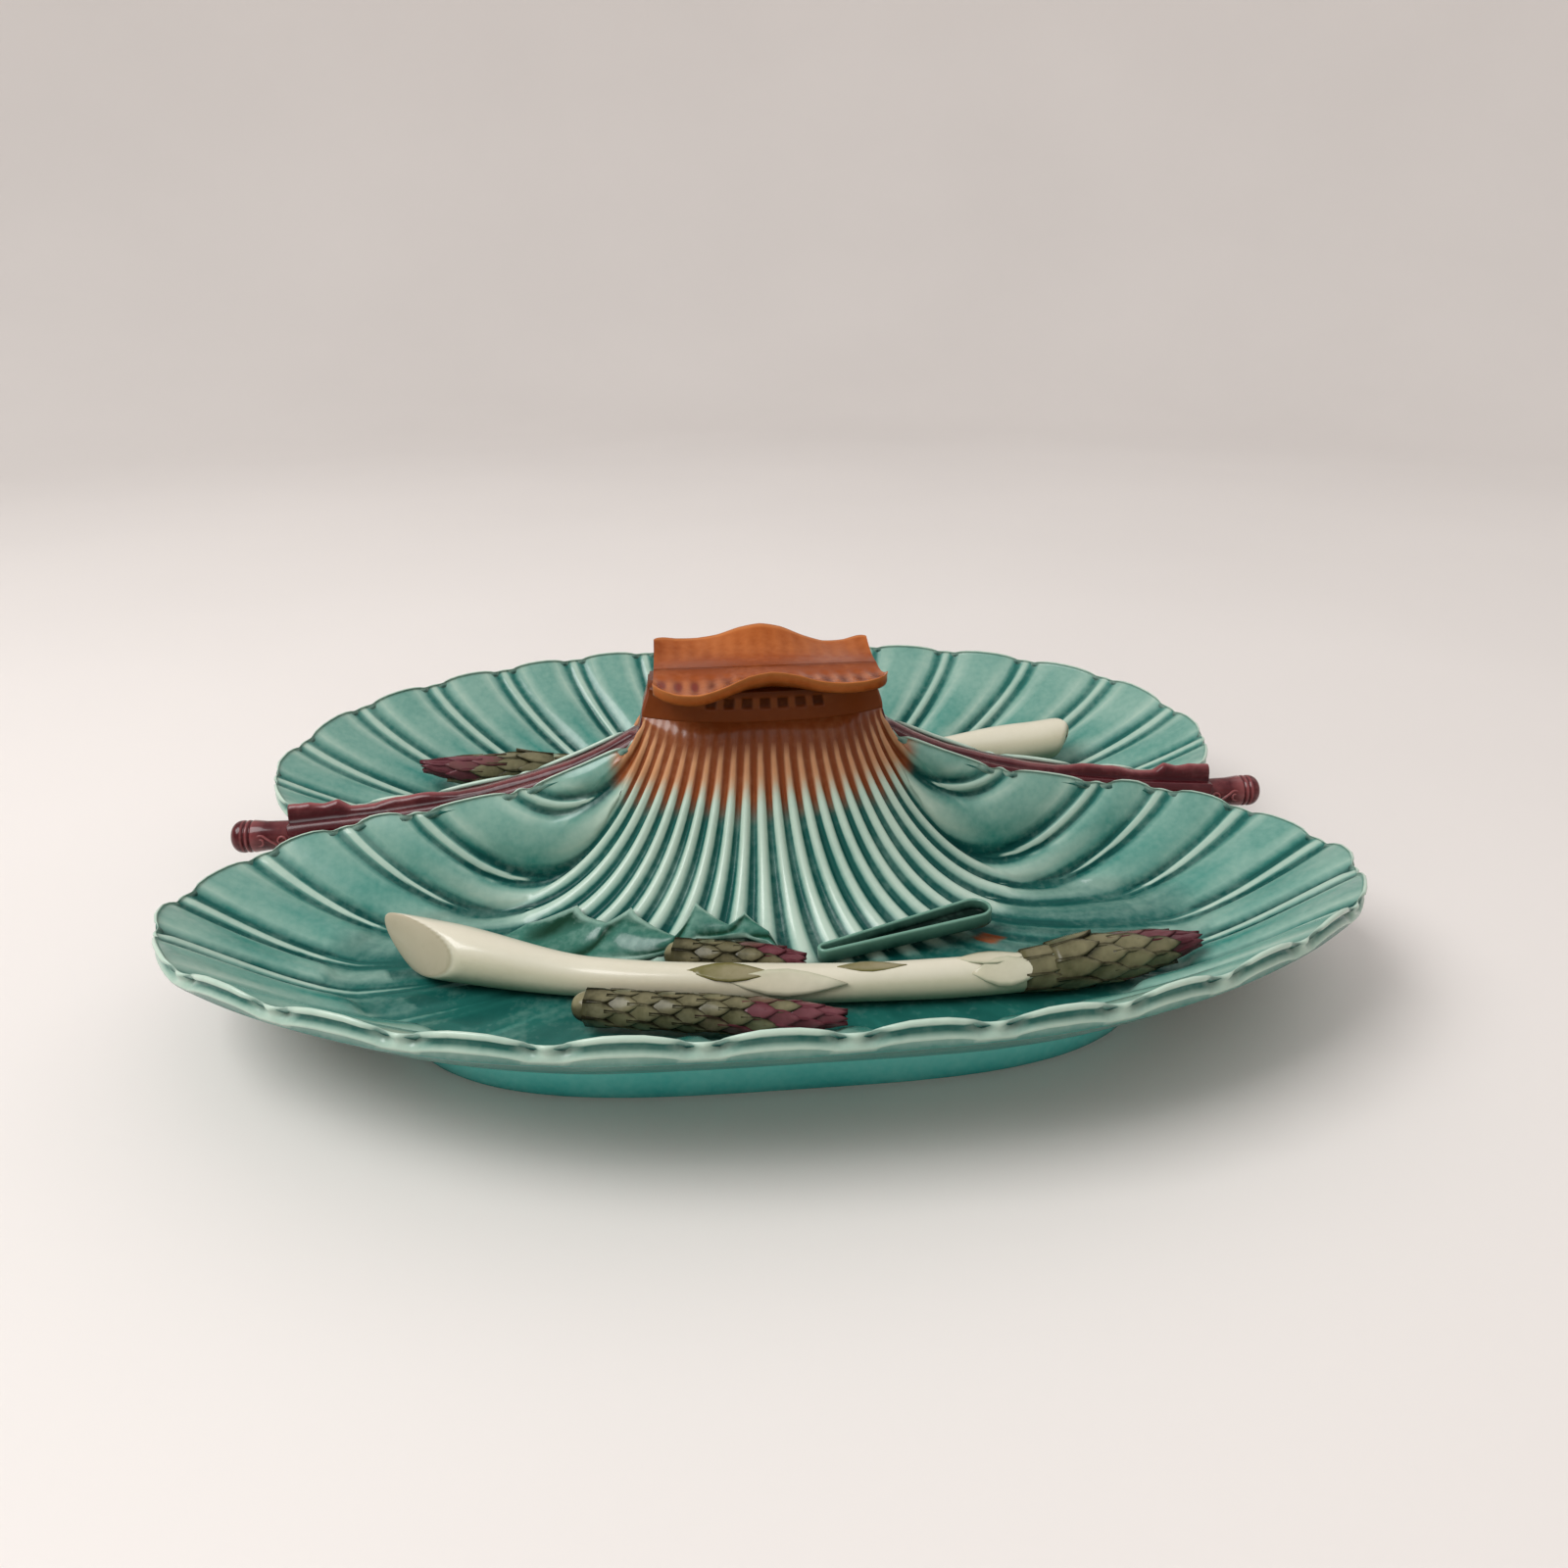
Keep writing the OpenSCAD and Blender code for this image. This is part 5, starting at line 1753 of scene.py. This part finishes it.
@dataclass
class Leaf(Piece):
    """The spiky leaf that drapes over the ends of the ribs."""

    form: ShellForm
    side: Side
    thick: float = 2.2
    lift: float = 0.9
    vein_d: float = 0.7
    hook: float = 1.8
    slot = "leaf_green_glaze"

    def model(self) -> bpy.types.Object:
        """Build the leaf.

        Returns:
            Its object, without its glaze.
        """
        form = self.form
        stations = np.arange(len(LEAF_STATIONS))
        u = np.linspace(0, len(stations) - 1, 161)
        spike = np.floor(u / 2) * 2
        part = u - spike
        part = 1 - np.maximum(1 - part, 0) ** self.hook + np.maximum(part - 1, 0) ** self.hook
        hooked = np.minimum(spike + part, len(stations) - 1)
        back = [np.interp(hooked, stations, LEAF_STATIONS[:, k])[:, None] for k in (0, 1)]
        front = [np.interp(u, stations, LEAF_STATIONS[:, k])[:, None] for k in (2, 3)]
        u, t = u[:, None], np.linspace(0, 1, 17)[None, :]
        q = RIBS * mix(back[0], front[0], t)
        v = mix(back[1], front[1], t)
        base = form.base(q, v)
        n = form.normal(q, v)
        up_bank = rise(base[..., 2], form.floor_h, 0.12 * (form.rim_h - form.floor_h))
        clear = form.rib_rim_h * 0.75 * up_bank + self.lift
        from_edge = np.minimum(t, 1 - t)
        fade = np.minimum(from_edge / 0.12, 1)
        vein = 0.5 + 0.5 * np.cos(FULL_TURN * (u * 0.5 + 0.9 * t + 0.12 * np.sin(2.3 * u)))
        swell = self.thick * (0.5 + 0.5 * np.sqrt(fade)) - self.vein_d * vein * fade
        sheets = np.stack([base + (clear + swell)[..., None] * n, base + clear[..., None] * n])
        edge = 1 - smooth(from_edge / 0.16)
        spiky = np.interp(u, stations, SPIKY)
        crest = np.clip(0.85 * edge * (0.35 + 0.65 * spiky) + 0.1 * (1 - vein), 0, 1)
        pool = (0.15 + 0.85 * vein**2) * (1 - edge) * rise(u, 0.6, 1.2)
        return build_mesh(
            f"{self.side.label}_leaf_veined",
            half_turn(sheets * MIRROR_Y, self.side),
            sheet_faces(*vein.shape),
            crest=np.stack([crest, 0 * crest]),
            pool=np.stack([pool, 0 * pool + 1]),
        )


@dataclass
class Stalk(Piece):
    """The cut, hollow stalk: a trough that widens towards its open end."""

    side: Side
    place: tuple[float, float, float]
    turn: float = 16.0
    length: float = 59.0
    width: float = 11.0
    wall: float = 1.25
    height: float = 5.0
    rise: float = 3.0
    low_share: float = 0.45
    slot = "stalk_green_glaze"

    def outline(self, inset: float) -> np.ndarray:
        """Lay out the trough's closed outline in plan.

        Args:
            inset: How far it is drawn in.

        Returns:
            Points of the outline.
        """
        small, large = self.width * self.low_share / 2, self.width / 2
        xa, xb = -self.length / 2 + small, self.length / 2 - large
        edge = math.pi / 2 + math.asin((large - small) / (xb - xa))
        ends = []
        for x, r, first, last in ((xb, large, edge, -edge), (xa, small, -edge, edge - FULL_TURN)):
            a = np.linspace(first, last, 33)
            ends.append(np.stack([x + (r - inset) * np.cos(a), (r - inset) * np.sin(a)], -1))
        steps = np.linspace(0, 1, 14)[1:-1, None]
        wide, thin = ends
        return np.concatenate([wide, mix(wide[-1], thin[0], steps), thin, mix(thin[-1], wide[0], steps)])

    def model(self) -> bpy.types.Object:
        """Build the stalk.

        Returns:
            Its object, without its glaze.
        """
        h, w = self.height, self.wall
        # Rows from the outer bottom over the edge to the inner floor: inset, height, pale and dark share
        levels = (
            (0.6, 0.0, 0.0, 0.6),
            (0.0, 0.6, 0.1, 0.4),
            (0.0, h - 0.7, 0.6, 0.0),
            (0.25, h - 0.15, 1.0, 0.0),
            (w / 2, h, 1.0, 0.0),
            (w - 0.25, h - 0.15, 0.8, 0.0),
            (w, h - 0.7, 0.3, 0.3),
            (w, w + 0.5, 0.0, 1.0),
            (w + 0.4, w, 0.0, 1.0),
        )
        plans = np.stack([self.outline(inset) for inset, *_ in levels])
        _, z, pale, dark = np.array(levels).T[..., None] + 0 * plans[..., 0]
        tilt = math.asin(self.rise / self.length)
        c, s = math.cos(tilt), math.sin(tilt)
        x = plans[..., 0]
        rings = np.stack([x * c - z * s, plans[..., 1], x * s + z * c + self.rise / 2], -1)
        rings = half_turn(turned_flat(rings, self.turn) + np.array(self.place), self.side)
        return build_loft(f"{self.side.label}_stalk_hollow", rings, crest=pale, pool=dark)


@dataclass
class Stage:
    """The pale floor that bends up into a wall, the soft light and the camera."""

    camera_at: tuple[float, float, float] = (-24.835, -359.609, 205.029)
    heading: float = -0.089021
    pitch: float = 0.419990
    roll: float = -0.00813
    lens: float = 26.162
    sensor: float = 36.0
    clip: tuple[float, float] = (0.01, 50.0)
    level_r: float = 1.3
    bend_r: float = 0.9
    wall_z: float = 1.9
    around: int = 96
    tones: tuple = ((228, 222, 218), (236, 230, 226))
    roughness: float = 0.55
    sky: float = 0.65
    grain: tuple[float, float] = (3.0, 2.0)
    # Lights: name, place in metres, size and power
    lights: tuple = (("window", (-0.9, -0.35, 1.3), 0.9, 17.0), ("fill", (1.1, 0.5, 1.1), 0.8, 1.0))

    def build(self) -> None:
        """Set up floor, light and camera."""
        self.floor()
        world = bpy.data.worlds.new("studio")
        world.use_nodes = True
        background = world.node_tree.nodes["Background"]
        background.inputs[0].default_value = (1, 1, 1, 1)
        background.inputs[1].default_value = self.sky
        bpy.context.scene.world = world
        for name, place, size, power in self.lights:
            light = bpy.data.lights.new(name, "AREA")
            light.size = size
            light.energy = power
            way = Vector(place)
            turn = way.to_track_quat("Z", "Y").to_matrix().to_4x4()
            link_object(name, light).matrix_world = Matrix.Translation(way) @ turn

        camera = bpy.data.cameras.new("camera")
        camera.lens = self.lens
        camera.sensor_width = self.sensor
        camera.clip_start, camera.clip_end = self.clip
        turn = Matrix.Rotation(self.heading, 4, "Z") @ Matrix.Rotation(math.pi / 2 - self.pitch, 4, "X")
        turn = turn @ Matrix.Rotation(self.roll, 4, "Z")
        holder = link_object("camera", camera)
        holder.matrix_world = Matrix.Translation(Vector(self.camera_at) * MM) @ turn
        bpy.context.scene.camera = holder
        bpy.context.scene.view_settings.view_transform = "Standard"

    def floor(self) -> None:
        """Lay the floor."""
        end_r = self.level_r + self.bend_r
        profile = [
            (self.level_r + self.bend_r * math.sin(a), self.bend_r * (1 - math.cos(a)))
            for a in np.linspace(0, math.pi / 2, 25)
        ] + [(end_r, self.wall_z)]
        circle = np.linspace(0, FULL_TURN, self.around, endpoint=False)
        rows = [(0.0, 0.0, 0.0)] + [(r * math.cos(w), r * math.sin(w), z) for r, z in profile for w in circle]
        faces = [(0, 1 + k, 1 + (k + 1) % self.around) for k in range(self.around)]
        faces += (grid_faces(len(profile), self.around, wrap_cols=True) + 1).tolist()
        mesh = bpy.data.meshes.new("floor")
        mesh.from_pydata(rows, [], faces)
        mesh.polygons.foreach_set("use_smooth", [True] * len(mesh.polygons))
        floor = link_object("floor", mesh)
        paint = bpy.data.materials.new("pale_floor")
        paint.use_nodes = True
        tree = paint.node_tree
        shader = tree.nodes["Principled BSDF"]
        tones = []
        for tone in self.tones:
            tones.append(node(tree, "ShaderNodeRGB").outputs[0])
            tones[-1].default_value = linear(tone)
        tree.links.new(blend_colour(tree, noise(tree, *self.grain), *tones), shader.inputs["Base Color"])
        shader.inputs["Roughness"].default_value = self.roughness
        floor.data.materials.append(paint)


def spears(form: ShellForm) -> list[Spear]:
    """Lay out the two long spears and the four short ones.

    Args:
        form: The shells' form.

    Returns:
        The spears, the long ones first.
    """
    long = {"butt": 17.5, "stem": 11.5, "head": 14, "head_share": 0.23, "scale_rows": 6, "scales_round": 8}
    short = {"butt": 9.5, "stem": 9.5, "head": 9.5, "bow": 1, "head_share": 0.75, "lift": 0}
    short.update(scales_round=7, scaled_share=0.97, shade=0.35)
    rest = form.floor_h + 0.45
    long.update(bract_places=BRACTS)
    front = (0.016 * form.half_l, -0.46 * form.reach, rest)
    rear = (-0.008 * form.half_l, -0.475 * form.reach, rest)
    found = [
        Spear("front_long_spear", Side.FRONT, front, -5.4, 238, bow=16, lift=2.5, **long),
        Spear("rear_long_spear", Side.REAR, rear, 0.0, 259, bow=11.52, lift=7, pointed=0.3, **long),
    ]
    for side in Side:
        label = side.label
        back_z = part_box(f"{label}_back_spear")[0][2] / MM
        low_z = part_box(f"{label}_low_spear")[0][2] / MM
        back = (-0.084 * form.half_l, -0.466 * form.reach, back_z)
        low = (-0.127 * form.half_l, -0.655 * form.reach, low_z)
        found.append(Spear(f"{label}_back_spear", side, back, -10.5, 40, scale_rows=6, **short))
        found.append(Spear(f"{label}_low_spear", side, low, -10, 76, scale_rows=11, **short))
    return found


def main() -> None:
    """Build the plate, the floor, the light and the camera."""
    logging.basicConfig(level=logging.INFO, format="%(name)s: %(message)s")
    groups = {"glaze_colour": glaze_colour_group(), "glaze_relief": glaze_relief_group()}
    glazes = {g.name: g.material(groups) for g in GLAZES}
    form = ShellForm()
    for side in Side:
        label = side.label
        knob = EndKnob(side)
        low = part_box(f"{label}_stalk")[0][2] / MM
        stalk = Stalk(side, (0.218 * form.half_l, -0.409 * form.reach, low))
        trim = [RidgeBand(form, knob), knob, Scroll(knob, -1.0), Scroll(knob, 1.0)]
        for piece in [Shell(form, side), Lip(side), *trim, Leaf(form, side), stalk]:
            piece.build(glazes[piece.slot])
    FootRing(form).build(glazes["teal_foot_glaze"])
    Block(form).build(glazes["neck_brown_glaze"])
    tree = scale_tree()
    shape, bract = scale_shape("scale_shape", 0.0), scale_shape("bract_shape", 1.0)
    for spear in spears(form):
        spear.build(glazes[spear.slot])
        covers = [("_scales", spear.head_scales(), shape, "khaki_glaze")]
        if spear.bract_places:
            covers.append(("_bracts", spear.bracts(), bract, "ivory_glaze"))
        for ending, spots, pattern, slot in covers:
            rows = ScaleRows(spear.name + ending, spear, spots, tree, pattern)
            finish_piece(rows.build(glazes[slot]), slot, glazes[slot])
    bpy.data.objects.remove(shape)
    bpy.data.objects.remove(bract)
    Stage().build()


if __name__ == "__main__":
    main()
